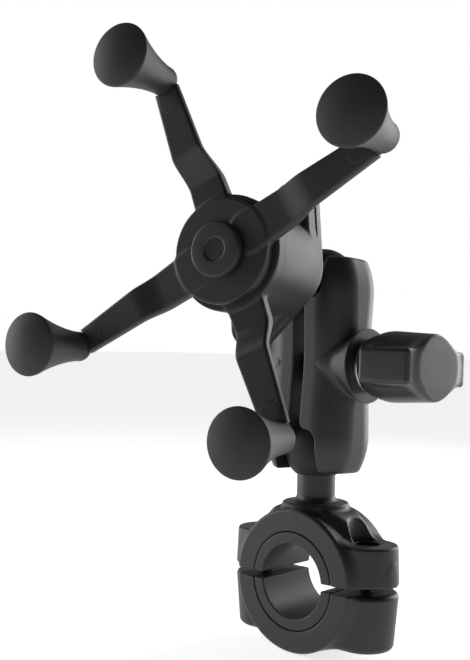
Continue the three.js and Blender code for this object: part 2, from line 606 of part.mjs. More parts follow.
const grip = new THREE.Group();
grip.position.set(0, BALL_SPACING * Math.sin(ARM_LEAN), LOWER_BALL_Z + BALL_SPACING * Math.cos(ARM_LEAN));
const facing = new THREE.Vector3(
  Math.sin(GRIP_PAN) * Math.cos(GRIP_TILT), -Math.cos(GRIP_PAN) * Math.cos(GRIP_TILT), Math.sin(GRIP_TILT));
const level = new THREE.Vector3(Math.cos(GRIP_PAN), Math.sin(GRIP_PAN), 0);
const across = level.clone().applyAxisAngle(facing, -GRIP_ROLL);
const along = new THREE.Vector3().crossVectors(facing, across);
grip.setRotationFromMatrix(new THREE.Matrix4().makeBasis(across, along, facing));
buildGrip(grip);
piece(grip, 'upper_ball_cover', ballSkin(UPPER_NECK_R, 1), rubber);
mount.add(grip);

export default mount;
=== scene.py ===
"""Looks of a phone mount for a handlebar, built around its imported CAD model.

Every cast or moulded piece is written as a distance field in millimetres, in the frame of the base, the arm
or the grip, and a surface net turns the field into a mesh. Turned pieces are lathed, and springs are swept.
"""

import json
import math

import bmesh
import bpy
import numpy as np
from mathutils import Matrix, Vector


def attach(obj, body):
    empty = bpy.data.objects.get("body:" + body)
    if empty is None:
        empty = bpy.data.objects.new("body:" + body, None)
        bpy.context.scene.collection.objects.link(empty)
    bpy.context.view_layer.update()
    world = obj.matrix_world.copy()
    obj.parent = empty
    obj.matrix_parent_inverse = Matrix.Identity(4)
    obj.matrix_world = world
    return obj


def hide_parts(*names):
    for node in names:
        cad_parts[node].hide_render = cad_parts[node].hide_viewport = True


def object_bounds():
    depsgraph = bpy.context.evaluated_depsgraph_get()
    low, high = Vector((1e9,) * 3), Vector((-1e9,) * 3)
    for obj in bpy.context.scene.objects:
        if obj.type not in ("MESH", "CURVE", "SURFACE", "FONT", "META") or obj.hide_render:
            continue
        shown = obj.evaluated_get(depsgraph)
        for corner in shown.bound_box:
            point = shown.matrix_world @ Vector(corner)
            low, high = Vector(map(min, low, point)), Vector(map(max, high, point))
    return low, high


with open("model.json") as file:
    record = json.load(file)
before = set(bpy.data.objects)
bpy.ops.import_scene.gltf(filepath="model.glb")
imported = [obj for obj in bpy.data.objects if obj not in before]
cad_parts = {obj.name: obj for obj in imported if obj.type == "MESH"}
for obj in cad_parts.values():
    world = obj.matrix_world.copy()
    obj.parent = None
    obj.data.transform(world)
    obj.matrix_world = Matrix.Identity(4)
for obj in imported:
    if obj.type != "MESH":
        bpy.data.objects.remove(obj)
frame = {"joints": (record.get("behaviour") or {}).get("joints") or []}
cad_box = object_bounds()

MM = 0.001
DEG = math.pi / 180
GAP = 0.3                       # running gap between neighbouring pieces
FAR = 60.0                      # cutting tools reach this far, beyond every piece

# ---- driving dimensions, millimetres ----
BAR_R = 14.3
SLEEVE_R = 19.05
RING_R = 27.6
BASE_HALF_WIDTH = 14.8
SPLIT_HALF = 1.3
SCREW_X = 25.0
LUG_R = 12.3
LUG_TOP = 16.2
LUG_BOTTOM = -23.2
PLATEAU_R = 13.2
PLATEAU_Z = 29.5
POST_FOOT = 10.0
COUNTERBORE_FLOOR = 8.6
COUNTERBORE_R = 4.6
WASHER_TOP = COUNTERBORE_FLOOR + 1.1
SCREW_R = 2.4
SCREW_PITCH = 0.8
SCREW_END = -21.8
SCREW_HOLE_R = 2.75
HEAD_R = 4.2
HEAD_BOTTOM = COUNTERBORE_FLOOR + 1.4
HEAD_HEIGHT = 5.0
NUT_FLATS = 8.0
NUT_TOP = -17.3
NUT_BOTTOM = -21.3

BALL_R = 12.7
BALL_WALL = 1.2
CORE_R = BALL_R - BALL_WALL - GAP
BALL_FLAT = 10.4
NECK_R = 7.55
UPPER_NECK_R = 5.9

ARM_HALF_WIDTH = 15.6
ARM_OVERHANG = 8.35
ARM_SPLIT_HALF = 2.5
ARM_SIDE_X = 19.7
SLOT_HALF = 10.0
SEAT_X = 23.2
SEAT_R = 14.9
FAR_SEAT_X = 21.4
FAR_SEAT_R = 11.5
BOLT_R = 3.05
BOLT_HOLE_R = BOLT_R + GAP
BOLT_END = 40.0
BOLT_PITCH = 1.27
BOLT_THREAD_START = 20.0
BOLT_HEAD_FLATS = 11.1
BOLT_HEAD_X = -18.0
BOLT_HEAD_HEIGHT = 4.2
SPRING_POCKET_R = 8.4
SPRING_POCKET_END = 12.0
SPRING_END = 11.7               # the arm's spring reaches this far to either side
KNOB_WASHER_R = 9.5

KNOB_BACK = 24.8
KNOB_END = 54.2
KNOB_R = 12.9
KNOB_FOOT_R = 10.6
WING_HALF = 6.6
WING_REACH = 20.0
WING_START = 31.9
INSERT_R = 5.0
INSERT_END = 43.0

GRIP_ROLL = 18.2 * DEG
PLATE_BACK = 34.8               # distances from the upper ball's centre along the grip's axis
PLATE_FRONT = 39.3
FLANGE_FRONT = 45.8
HOUSING_FRONT = 69.3
HOUSING_R = 19.2
PLATE_SCREW_Y = 24.3
PLATE_SCREW_END = FLANGE_FRONT + 0.4
NUT_SEAT = FLANGE_FRONT - 3.5
HOUSING_WALL = 2.2
PIN_SEAT_R = 7.0
GRIP_FAR = 90.0                 # cutting tools reach this far along the grip's axis
DIAMOND_HALF = 31.0
DIAMOND_END_R = 7.0
DIAMOND_MIDDLE_R = 17.0
LAP_Z = 74.4
DISC_FRONT = 78.7
DISC_BACK_R = 20.0
DISC_FRONT_R = 18.0
BLADE_BACK = 77.6
BLADE_FRONT = 80.9
REST_Z = 82.0
CRANK_START = 26.0
CRANK_END = 38.0
TONGUE = 3.6
TIP_X = 44.0
TIP_Y = 49.2
TIP_R = math.hypot(TIP_X, TIP_Y)
PIN_R = 4.0
PIN_HEAD_R = 6.4
PIN_BACK = NUT_SEAT - 0.7
PIN_FRONT = REST_Z - 0.4
PIVOT_CAP_R = 9.0
PIVOT_CAP_BACK = REST_Z - 1.5
LEG_ROOT = 12.0                 # the legs run from this distance to just inside the tip
LEG_ROOT_HALF = 7.4
LEG_TIP_HALF = 4.7
LEG_LENGTH = TIP_R - 15
TONGUE_LENGTH = 9.0
TONGUE_DROP = 0.5
PEG_R = 3.2
PEG_LENGTH = 15.0
CAP_BACK = 77.7
CAP_LENGTH = 27.6
CAP_R = 10.9
CAP_SPLAY_X = 0.9 * DEG         # each cap leans outwards
CAP_SPLAY_Y = 2.8 * DEG
CAP_DOME = 2.1
STEM_R = 5.3
SIDES = (("left", -1), ("right", 1))

# Spacing of the surface net for each kind of piece, millimetres.
PITCH = {"casting": 0.5, "arm": 0.45, "knob": 0.42, "bolt": 0.28, "nut": 0.25, "screw": 0.22}

# ---- local frames of the base, the arm and the grip ----
JOINTS = {joint["name"]: joint for joint in frame["joints"]}
LOWER_BALL = Vector(JOINTS["lower_ball_tilt"]["pos_m"])
UPPER_BALL = Vector(JOINTS["upper_ball_tilt"]["pos_m"])
FACING = Vector(JOINTS["upper_ball_roll"]["axis"]).normalized()
LOWER_BALL_Z = LOWER_BALL.z / MM
BALL_SPACING = (UPPER_BALL - LOWER_BALL).length / MM
ARM_MID = BALL_SPACING / 2
ARM_LEAN = math.atan2(UPPER_BALL.y - LOWER_BALL.y, UPPER_BALL.z - LOWER_BALL.z)


def grip_axes():
    """The grip's own axes: across, along and towards the phone."""
    level = Vector((0, 0, 1)).cross(FACING).normalized()
    if level.x < 0:
        level = -level
    upright = FACING.cross(level)
    across = level * math.cos(GRIP_ROLL) - upright * math.sin(GRIP_ROLL)
    return Matrix((across, FACING.cross(across), FACING)).transposed().to_4x4()


IN_BASE = Matrix.Scale(MM, 4)
IN_ARM = Matrix.Translation(LOWER_BALL) @ Matrix.Rotation(-ARM_LEAN, 4, "X") @ IN_BASE
IN_GRIP = Matrix.Translation(UPPER_BALL) @ grip_axes() @ IN_BASE


# ---- distance fields: each takes points (n, 3) and gives distances (n), negative inside ----
AXES = {"X": (1, 2, 0), "Y": (2, 0, 1), "Z": (0, 1, 2)}


def seen_along(p, axis, centre):
    """Coordinates across an axis, from a centre of that plane, and along it."""
    u, v, w = AXES[axis]
    return p[:, u] - centre[0], p[:, v] - centre[1], p[:, w]


def round_max(a, b, r):
    """Both fields at once, with their edge rounded to radius r."""
    r = np.maximum(r, 1e-6)
    return np.minimum(np.maximum(a, b), -r) + np.hypot(np.maximum(a + r, 0), np.maximum(b + r, 0))


def round_min(a, b, r):
    """Either field, with their inner corner filled to radius r."""
    return -round_max(-a, -b, r)


def joined(*fields, fillet=0.0):
    def field(p):
        total = fields[0](p)
        for other in fields[1:]:
            total = round_min(total, other(p), fillet)
        return total
    return field


def cut(body, *tools, edge=0.5):
    def field(p):
        rest = body(p)
        for tool in tools:
            rest = round_max(rest, -tool(p), edge)
        return rest
    return field


def common(*fields, edge=0.5):
    def field(p):
        total = fields[0](p)
        for other in fields[1:]:
            total = round_max(total, other(p), edge)
        return total
    return field


def slab(w, low, high):
    return np.abs(w - (low + high) / 2) - (high - low) / 2


def rod(axis, radius, low, high, centre=(0.0, 0.0), edge=0.5):
    def field(p):
        u, v, w = seen_along(p, axis, centre)
        return round_max(np.hypot(u, v) - radius, slab(w, low, high), edge)
    return field


def box(low, high, edge=0.5):
    low, high = np.array(low, float), np.array(high, float)

    def field(p):
        q = np.abs(p - (low + high) / 2) - (high - low) / 2 + edge
        return np.linalg.norm(np.maximum(q, 0), axis=1) + np.minimum(q.max(axis=1), 0) - edge
    return field


def ball(radius, centre=(0.0, 0.0, 0.0)):
    return lambda p: np.linalg.norm(p - np.array(centre), axis=1) - radius


def convex(u, v, outline, edge):
    """Distance in a plane to a convex outline, given anticlockwise, with its corners rounded."""
    total = None
    for (u0, v0), (u1, v1) in zip(outline, outline[1:] + outline[:1]):
        length = math.hypot(u1 - u0, v1 - v0)
        side = ((u - u0) * (v1 - v0) - (v - v0) * (u1 - u0)) / length
        total = side if total is None else round_max(total, side, edge)
    return total


def prism(axis, outline, low, high, centre=(0.0, 0.0), corner=0.5, edge=0.5):
    def field(p):
        u, v, w = seen_along(p, axis, centre)
        return round_max(convex(u, v, outline, corner), slab(w, low, high), edge)
    return field


def hexagon(flats):
    r = flats / math.sqrt(3)
    return [(r * math.cos(k * 60 * DEG), r * math.sin(k * 60 * DEG)) for k in range(6)]


def blend_of_circles(u, v, r1, r2, length):
    """Distance to the hull of a circle r1 at the origin and a circle r2 at v = length."""
    u = np.abs(u)
    b = (r1 - r2) / length
    a = math.sqrt(1 - b * b)
    k = a * v - b * u
    near = np.hypot(u, v) - r1
    far = np.hypot(u, v - length) - r2
    return np.where(k < 0, near, np.where(k > a * length, far, a * u + b * v - r1))


def threaded(axis, radius, pitch, low, high, centre=(0.0, 0.0)):
    """A rod with a right-handed thread."""
    def field(p):
        u, v, w = seen_along(p, axis, centre)
        turn = w / pitch - np.arctan2(v, u) / (2 * math.pi)
        ridge = np.abs(turn - np.floor(turn) - 0.5) * 2
        groove = 0.55 * pitch * (1 - ridge)
        return round_max((np.hypot(u, v) - radius + groove) * 0.75, slab(w, low, high), 0.3)
    return field


# ---- meshes ----
def gradient(field, p, step):
    shifts = np.eye(3) * step
    return np.stack([field(p + s) - field(p - s) for s in shifts], axis=1) / (2 * step)


def onto_surface(field, p, step, rounds=3):
    for _ in range(rounds):
        g = gradient(field, p, step)
        p = p - g * (field(p) / np.maximum((g * g).sum(axis=1), 0.05))[:, None]
    return p


def relaxed(p, quads, share=0.5):
    """Points drawn towards the mean of their quads' corners, which evens the net out."""
    total, count = np.zeros_like(p), np.zeros(len(p))
    middle = p[quads].mean(axis=1)
    for k in range(4):
        np.add.at(total, quads[:, k], middle)
        np.add.at(count, quads[:, k], 1)
    return p + share * (total / np.maximum(count, 1)[:, None] - p)


def surface_net(field, low, high, pitch):
    """Points and quads of the field's surface inside a box."""
    counts = [int(math.ceil((h - l) / pitch)) + 5 for l, h in zip(low, high)]
    start = np.array(low, float) - 2.03 * pitch
    lines = [start[k] + pitch * np.arange(counts[k]) for k in range(3)]
    nodes = np.stack(np.meshgrid(*lines, indexing="ij"), axis=-1).reshape(-1, 3)
    chunk = 400_000
    values = np.concatenate([field(nodes[i:i + chunk]) for i in range(0, len(nodes), chunk)]).reshape(counts)
    inside = values < 0
    cells = tuple(c - 1 for c in counts)
    sum_inside = sum(inside[i:i + cells[0], j:j + cells[1], k:k + cells[2]].astype(np.int8)
                     for i in (0, 1) for j in (0, 1) for k in (0, 1))
    active = (sum_inside > 0) & (sum_inside < 8)
    index = np.full(cells, -1, np.int64)
    where = np.argwhere(active)
    index[active] = np.arange(len(where))
    total, hits = np.zeros((len(where), 3)), np.zeros(len(where))
    for axis in range(3):
        others = [a for a in range(3) if a != axis]
        for i in (0, 1):
            for j in (0, 1):
                corner = where.copy()
                corner[:, others[0]] += i
                corner[:, others[1]] += j
                ahead = corner.copy()
                ahead[:, axis] += 1
                a, b = values[tuple(corner.T)], values[tuple(ahead.T)]
                crosses = (a < 0) != (b < 0)
                t = np.where(crosses, a / np.where(crosses, a - b, 1), 0)
                place = corner.astype(float)
                place[:, axis] += t
                total += place * crosses[:, None]
                hits += crosses
    points = start + pitch * total / hits[:, None]
    quads = []
    for axis in range(3):
        u, v = [(1, 2), (2, 0), (0, 1)][axis]
        size = [slice(1, c - 1) for c in counts]
        size[axis] = slice(0, counts[axis] - 1)
        shifted = list(size)
        shifted[axis] = slice(1, counts[axis])
        a, b = inside[tuple(size)], inside[tuple(shifted)]
        edges = np.argwhere(a != b)
        flip = a[tuple(edges.T)]
        edges[:, u] += 1
        edges[:, v] += 1
        around = []
        for du, dv in ((0, 0), (-1, 0), (-1, -1), (0, -1)):
            cell = edges.copy()
            cell[:, u] += du
            cell[:, v] += dv
            around.append(index[tuple(cell.T)])
        quad = np.stack(around, axis=1)
        quads.append(np.where(flip[:, None], quad, quad[:, ::-1]))
    return points, np.concatenate(quads)


def add_mesh(name, points, quads, normals, place):
    """A mesh object from points and quads, with the given normals, put in place."""
    mesh = bpy.data.meshes.new(name)
    mesh.vertices.add(len(points))
    mesh.vertices.foreach_set("co", points.astype(np.float32).ravel())
    mesh.loops.add(quads.size)
    mesh.loops.foreach_set("vertex_index", quads.astype(np.int32).ravel())
    mesh.polygons.add(len(quads))
    mesh.polygons.foreach_set("loop_start", np.arange(0, quads.size, quads.shape[1], dtype=np.int32))
    mesh.update(calc_edges=True)
    mesh.polygons.foreach_set("use_smooth", np.ones(len(quads), bool))
    mesh.transform(place)
    if normals is not None:
        turned = normals @ np.array(place.to_3x3().normalized()).T
        turned /= np.maximum(np.linalg.norm(turned, axis=1, keepdims=True), 1e-9)
        mesh.normals_split_custom_set_from_vertices(turned.tolist())
    piece = bpy.data.objects.new(name, mesh)
    bpy.context.scene.collection.objects.link(piece)
    return piece


def sculpted(name, field, low, high, pitch, place):
    """A piece from a distance field."""
    points, quads = surface_net(field, low, high, pitch)
    points = onto_surface(field, points, pitch * 0.2)
    points = relaxed(points, quads)
    points = onto_surface(field, points, pitch * 0.2)
    return add_mesh(name, points, quads, gradient(field, points, pitch * 0.25), place)


def lathed(name, profile, place, centre=(0.0, 0.0), segments=96, sharp=35):
    """A turned piece about local Z from a closed profile of (radius, height)."""
    count = len(profile)
    angle = 2 * math.pi * np.arange(segments) / segments
    radius, height = np.array(profile, float).T
    ring = np.stack([
        centre[0] + np.outer(np.cos(angle), radius),
        centre[1] + np.outer(np.sin(angle), radius),
        np.broadcast_to(height, (segments, count)),
    ], axis=-1).reshape(-1, 3)
    here = np.arange(segments)[:, None] * count + np.arange(count)[None, :]
    there = np.roll(here, -1, axis=0)
    quads = np.stack([here, there, np.roll(there, -1, axis=1), np.roll(here, -1, axis=1)], axis=-1)
    piece = add_mesh(name, ring, quads.reshape(-1, 4), None, place)
    mesh = piece.data
    mesh.validate()
    weld(mesh)
    mesh.set_sharp_from_angle(angle=sharp * DEG)
    return piece


def weld(mesh):
    """Merges the points that lie together, as on a lathe's axis, and turns every face outwards."""
    work = bmesh.new()
    work.from_mesh(mesh)
    bmesh.ops.remove_doubles(work, verts=work.verts, dist=1e-7)
    bmesh.ops.dissolve_degenerate(work, edges=work.edges, dist=1e-8)
    bmesh.ops.recalc_face_normals(work, faces=work.faces)
    for face in work.faces:
        face.smooth = True
    work.to_mesh(mesh)
    work.free()


def rounded(corners, steps=6):
    """A closed profile from (radius, height, rounding) corners, with an arc about each rounding's centre.

    Known fault: slerp gives vectors of length 1, so every arc has radius 1 instead of its rounding, and the
    edges stand proud of their corners by 1 less the rounding.
    """
    points = []
    for k, (x, y, r) in enumerate(corners):
        if r <= 0:
            points.append((x, y))
            continue
        corner = Vector((x, y))
        before = (Vector(corners[k - 1][:2]) - corner).normalized()
        after = (Vector(corners[(k + 1) % len(corners)][:2]) - corner).normalized()
        half = before.angle(after) / 2
        centre = corner + (before + after).normalized() * (r / math.sin(half))
        first = corner + before * (r / math.tan(half)) - centre
        last = corner + after * (r / math.tan(half)) - centre
        for step in range(steps + 1):
            arm = first.slerp(last, step / steps)
            points.append(tuple(centre + arm))
    return points


def swept_coil(name, radius, wire, low, high, turns, place):
    """A coil spring about local Z, ground flat in pitch at both ends."""
    steps, sides = int(turns * 40), 12
    t = np.linspace(0, 1, steps + 1)
    angle = 2 * math.pi * turns * t
    ease = np.clip((t * turns - 0.5) / (turns - 1), 0, 1)
    height = low + wire + (high - low - 2 * wire) * ease
    line = np.stack([radius * np.cos(angle), radius * np.sin(angle), height], axis=1)
    ahead = np.gradient(line, axis=0)
    ahead /= np.linalg.norm(ahead, axis=1, keepdims=True)
    out = np.stack([np.cos(angle), np.sin(angle), np.zeros_like(angle)], axis=1)
    up = np.cross(ahead, out)
    turn = 2 * math.pi * np.arange(sides) / sides
    points = (line[:, None] + wire * (out[:, None] * np.cos(turn)[None, :, None]
              + up[:, None] * np.sin(turn)[None, :, None])).reshape(-1, 3)
    here = (np.arange(steps)[:, None] * sides + np.arange(sides)[None, :])
    quads = np.stack([here, np.roll(here, -1, axis=1), np.roll(here, -1, axis=1) + sides, here + sides],
                     axis=-1).reshape(-1, 4)
    piece = add_mesh(name, points, quads, None, place)
    close_ends(piece.data)
    return piece


def close_ends(mesh):
    """Fills the two open ends of a swept wire."""
    work = bmesh.new()
    work.from_mesh(mesh)
    rim = [e for e in work.edges if e.is_boundary]
    bmesh.ops.holes_fill(work, edges=rim, sides=0)
    bmesh.ops.recalc_face_normals(work, faces=work.faces)
    work.to_mesh(mesh)
    work.free()


# ---- camera ----
CAMERA_AZIMUTH = 42.5 * DEG
CAMERA_ELEVATION = -0.95 * DEG
CAMERA_ROLL = 1.14 * DEG
CAMERA_BACK = 398.0             # from the bar's axis, millimetres
CAMERA_LEFT = 33.4
CAMERA_HEIGHT = 90.0
CAMERA_SENSOR = 36.0            # on the picture's long side
CAMERA_LENS = 54.545


def add_camera():
    az, el, roll = CAMERA_AZIMUTH, CAMERA_ELEVATION, CAMERA_ROLL
    level_right = Vector((math.cos(az), math.sin(az), 0))
    level_ahead = Vector((-math.sin(az), math.cos(az), 0))
    ahead = Vector((-math.sin(az) * math.cos(el), math.cos(az) * math.cos(el), -math.sin(el)))
    up = level_right.cross(ahead)
    right = math.cos(roll) * level_right + math.sin(roll) * up
    above = right.cross(ahead)
    place = -level_ahead * CAMERA_BACK - level_right * CAMERA_LEFT + Vector((0, 0, CAMERA_HEIGHT))
    camera = bpy.data.objects.new("camera", bpy.data.cameras.new("camera"))
    camera.data.sensor_width = CAMERA_SENSOR
    camera.data.lens = CAMERA_LENS
    facing = Matrix((right, above, -ahead)).transposed().to_4x4()
    camera.matrix_world = Matrix.Translation(place * MM) @ facing
    bpy.context.scene.collection.objects.link(camera)
    bpy.context.scene.camera = camera


# ---- materials ----
def wire(tree, source, output, target, name):
    tree.links.new(source.outputs[output], target.inputs[name])


def material(name, color, roughness, metallic=0.0, grain=900.0, depth=0.02, spread=0.06, mottle=0.12,
             edge_gain=0.25, specular=0.5):
    """A moulded or coated finish: grain in the bump, slow variation of tone and roughness, lighter edges."""
    made = bpy.data.materials.new(name)
    made.use_nodes = True
    tree = made.node_tree
    shader = tree.nodes["Principled BSDF"]
    shader.inputs["Metallic"].default_value = metallic
    shader.inputs["Specular IOR Level"].default_value = specular
    where = tree.nodes.new("ShaderNodeTexCoord")

    fine = tree.nodes.new("ShaderNodeTexNoise")
    fine.inputs["Scale"].default_value = grain
    fine.inputs["Detail"].default_value = 3
    wire(tree, where, "Object", fine, "Vector")
    slow = tree.nodes.new("ShaderNodeTexNoise")
    slow.inputs["Scale"].default_value = 70
    slow.inputs["Detail"].default_value = 4
    wire(tree, where, "Object", slow, "Vector")

    tone = tree.nodes.new("ShaderNodeMapRange")
    tone.inputs["To Min"].default_value = 1 - mottle
    tone.inputs["To Max"].default_value = 1 + mottle
    wire(tree, slow, "Fac", tone, "Value")
    worn = tree.nodes.new("ShaderNodeNewGeometry")
    edge = tree.nodes.new("ShaderNodeMapRange")
    edge.inputs["From Min"].default_value = 0.52
    edge.inputs["From Max"].default_value = 0.62
    edge.inputs["To Max"].default_value = edge_gain
    wire(tree, worn, "Pointiness", edge, "Value")
    total = tree.nodes.new("ShaderNodeMath")
    total.operation = "ADD"
    wire(tree, tone, "Result", total, 0)
    wire(tree, edge, "Result", total, 1)
    paint = tree.nodes.new("ShaderNodeVectorMath")
    paint.operation = "SCALE"
    paint.inputs[0].default_value = color
    wire(tree, total, "Value", paint, "Scale")
    wire(tree, paint, "Vector", shader, "Base Color")

    rough = tree.nodes.new("ShaderNodeMapRange")
    rough.inputs["To Min"].default_value = roughness - spread
    rough.inputs["To Max"].default_value = roughness + spread
    wire(tree, slow, "Fac", rough, "Value")
    wire(tree, rough, "Result", shader, "Roughness")

    bump = tree.nodes.new("ShaderNodeBump")
    bump.inputs["Strength"].default_value = 0.5
    bump.inputs["Distance"].default_value = depth * MM
    wire(tree, fine, "Fac", bump, "Height")
    wire(tree, bump, "Normal", shader, "Normal")
    return made


STREAK_SCALE = 500


def brushed(name, color, roughness, stretch):
    """Turned or brushed metal: fine streaks across the stretched direction."""
    made = material(name, color, roughness, metallic=1.0, grain=STREAK_SCALE, depth=0.004, spread=0.08,
                    mottle=0.08, edge_gain=0.1)
    tree = made.node_tree
    noises = [n for n in tree.nodes if n.type == "TEX_NOISE"]
    fine = next(n for n in noises if n.inputs["Scale"].default_value == STREAK_SCALE)
    where = next(n for n in tree.nodes if n.type == "TEX_COORD")
    scale = tree.nodes.new("ShaderNodeMapping")
    scale.inputs["Scale"].default_value = stretch
    wire(tree, where, "Object", scale, "Vector")
    wire(tree, scale, "Vector", fine, "Vector")
    return made


def make_materials():
    return {
        "coated": material("powder_coat", (0.017, 0.017, 0.0175), 0.46, grain=1100, depth=0.035),
        "sleeve": material("moulded_sleeve", (0.019, 0.019, 0.0195), 0.5, grain=1500, depth=0.02),
        "grip": material("moulded_composite", (0.015, 0.015, 0.0155), 0.5, grain=1300, depth=0.02),
        "knob": material("satin_knob", (0.021, 0.021, 0.0215), 0.42, grain=1600, depth=0.012),
        "ball_rubber": material("ball_rubber", (0.014, 0.014, 0.014), 0.62, grain=800, depth=0.03,
                                specular=0.35),
        "cap_rubber": material("cap_rubber", (0.025, 0.025, 0.025), 0.58, grain=1000, depth=0.02,
                               specular=0.4),
        "steel": brushed("plated_steel", (0.42, 0.43, 0.45), 0.3, (1, 1, 12)),
        "black_steel": material("black_oxide", (0.022, 0.022, 0.023), 0.38, grain=1500, depth=0.01),
        "brass": brushed("turned_brass", (0.65, 0.5, 0.25), 0.28, (12, 1, 1)),
    }


def finish_piece(piece, body, slot, *nodes):
    """Gives a piece its material and its body, and hides the CAD nodes that it stands for."""
    piece.data.materials.clear()
    piece.data.materials.append(MATERIALS[slot])
    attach(piece, body)
    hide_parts(*nodes)
    return piece


# ---- clamp base ----
def stadium(p, half, radius):
    """Distance in plan to a stadium along X."""
    return np.hypot(np.maximum(np.abs(p[:, 0]) - half, 0), p[:, 1]) - radius


RING_EDGE = 1.3
WEB_HALF = 10.0                         # half width of the shoulder's web at the post and at the lug
WEB_HALF_OUT = 4.5
WEB_OUT_X = 27.0
RAMP_SLOPE = math.atan2(12.6, 17.0)     # fall of the shoulder from the post to the lug
RAMP_TOP_X = 13.6
RAMP_Z = 28.0
POCKET_R = 6.4
POCKET_DRAFT = 0.10
LUG_DRAFT = 0.035                       # the lugs are wider at the split
LOWER_DRAFT = 1.2                       # the lower lugs are this much smaller at the bottom
LOWER_SHIFT = 0.9
SLANT = 0.92                            # makes a slanting wall's field a distance again
CASTING_EDGE = 0.45


def shoulder(p):
    """The sloping web between the post and each lug, the same on both sides."""
    x, y, z = np.abs(p[:, 0]), np.abs(p[:, 1]), p[:, 2]
    slope = (x - RAMP_TOP_X) * math.sin(RAMP_SLOPE) + (z - RAMP_Z) * math.cos(RAMP_SLOPE)
    out = np.clip((x - PLATEAU_R) / (WEB_OUT_X - PLATEAU_R), 0, 1.2)
    side = (y - WEB_HALF + (WEB_HALF - WEB_HALF_OUT) * out) * SLANT
    web = round_max(round_max(slope, z - RAMP_Z, 3.0), side, 3.5)
    return round_max(round_max(web, upper_lug_plan(p) + 0.6, 1.5), SPLIT_HALF - z, 0.5)


def upper_lug_plan(p):
    """Distance in plan to the upper lugs, which have draft."""
    return stadium(p, SCREW_X, LUG_R) + LUG_DRAFT * (p[:, 2] - SPLIT_HALF)


def relief_pocket(p):
    """Clearance for the tool above each lug, which widens a little upwards."""
    u, z = np.abs(p[:, 0]) - SCREW_X, p[:, 2]
    wall = np.hypot(u, p[:, 1]) - POCKET_R - POCKET_DRAFT * (z - LUG_TOP)
    return round_max(wall, LUG_TOP - z, 0.8)


def upper_clamp():
    ring = rod("Y", RING_R, -BASE_HALF_WIDTH, BASE_HALF_WIDTH, edge=RING_EDGE)
    post = rod("Z", PLATEAU_R, POST_FOOT, PLATEAU_Z, edge=1.2)
    neck = rod("Z", NECK_R, 2 * POST_FOOT, LOWER_BALL_Z, edge=0.5)
    core = ball(CORE_R, (0, 0, LOWER_BALL_Z))

    def lugs(p):
        return round_max(upper_lug_plan(p), slab(p[:, 2], SPLIT_HALF, LUG_TOP), 1.0)

    def body(p):
        casting = round_min(ring(p), lugs(p), 3.4)
        casting = round_min(casting, round_min(shoulder(p), post(p), 1.5), 2.0)
        casting = round_max(casting, -relief_pocket(p), 0.8)
        casting = round_min(casting, neck(p), 2.8)
        return round_min(casting, core(p), 1.0)

    tools = [rod("Y", SLEEVE_R, -FAR, FAR), box((-FAR, -FAR, -FAR), (FAR, FAR, SPLIT_HALF))]
    for _, side in SIDES:
        tools.append(rod("Z", SCREW_HOLE_R, -FAR, FAR, (side * SCREW_X, 0)))
        tools.append(rod("Z", COUNTERBORE_R, COUNTERBORE_FLOOR, FAR, (side * SCREW_X, 0)))
    return cut(body, *tools, edge=CASTING_EDGE)


def lower_clamp():
    ring = rod("Y", RING_R, -BASE_HALF_WIDTH, BASE_HALF_WIDTH, edge=RING_EDGE)

    def lugs(p):
        drop = (p[:, 2] + SPLIT_HALF) / (LUG_BOTTOM + SPLIT_HALF)
        wall = stadium(p, SCREW_X - LOWER_SHIFT * drop, LUG_R - LOWER_DRAFT * drop)
        return round_max(wall, slab(p[:, 2], LUG_BOTTOM, -SPLIT_HALF), 2.2)

    tools = [rod("Y", SLEEVE_R, -FAR, FAR), box((-FAR, -FAR, -SPLIT_HALF), (FAR, FAR, FAR))]
    for _, side in SIDES:
        tools.append(rod("Z", SCREW_HOLE_R, -FAR, FAR, (side * SCREW_X, 0)))
        tools.append(prism("Z", hexagon(NUT_FLATS + 2 * GAP), -FAR, NUT_TOP + GAP, (side * SCREW_X, 0)))
    return cut(joined(ring, lugs, fillet=3.0), *tools, edge=CASTING_EDGE)


def sleeve_half(side):
    outside = rod("Y", SLEEVE_R - GAP, -BASE_HALF_WIDTH, BASE_HALF_WIDTH, edge=0.4)
    tube = cut(outside, rod("Y", BAR_R, -FAR, FAR))
    low, high = (SPLIT_HALF, FAR) if side > 0 else (-FAR, -SPLIT_HALF)
    return common(tube, box((-FAR, -FAR, low), (FAR, FAR, high)))


HEAD_KNURLS = 36
KNURL_DEPTH = 0.07
SOCKET_FLATS = 4.0
SOCKET_DEPTH = 2.6


def socket_head(centre):
    """The cylindrical head of a clamp screw, with a knurled side and a hexagon socket."""
    top = HEAD_BOTTOM + HEAD_HEIGHT

    def field(p):
        u, v, w = seen_along(p, "Z", centre)
        knurl = KNURL_DEPTH * np.cos(np.arctan2(v, u) * HEAD_KNURLS)
        head = round_max(np.hypot(u, v) - HEAD_R + 0.1 - knurl, slab(w, HEAD_BOTTOM, top), 0.45)
        hexagonal = convex(u, v, hexagon(SOCKET_FLATS), 0.1)
        return round_max(head, -round_max(hexagonal, slab(w, top - SOCKET_DEPTH, FAR), 0.1), 0.2)
    return field


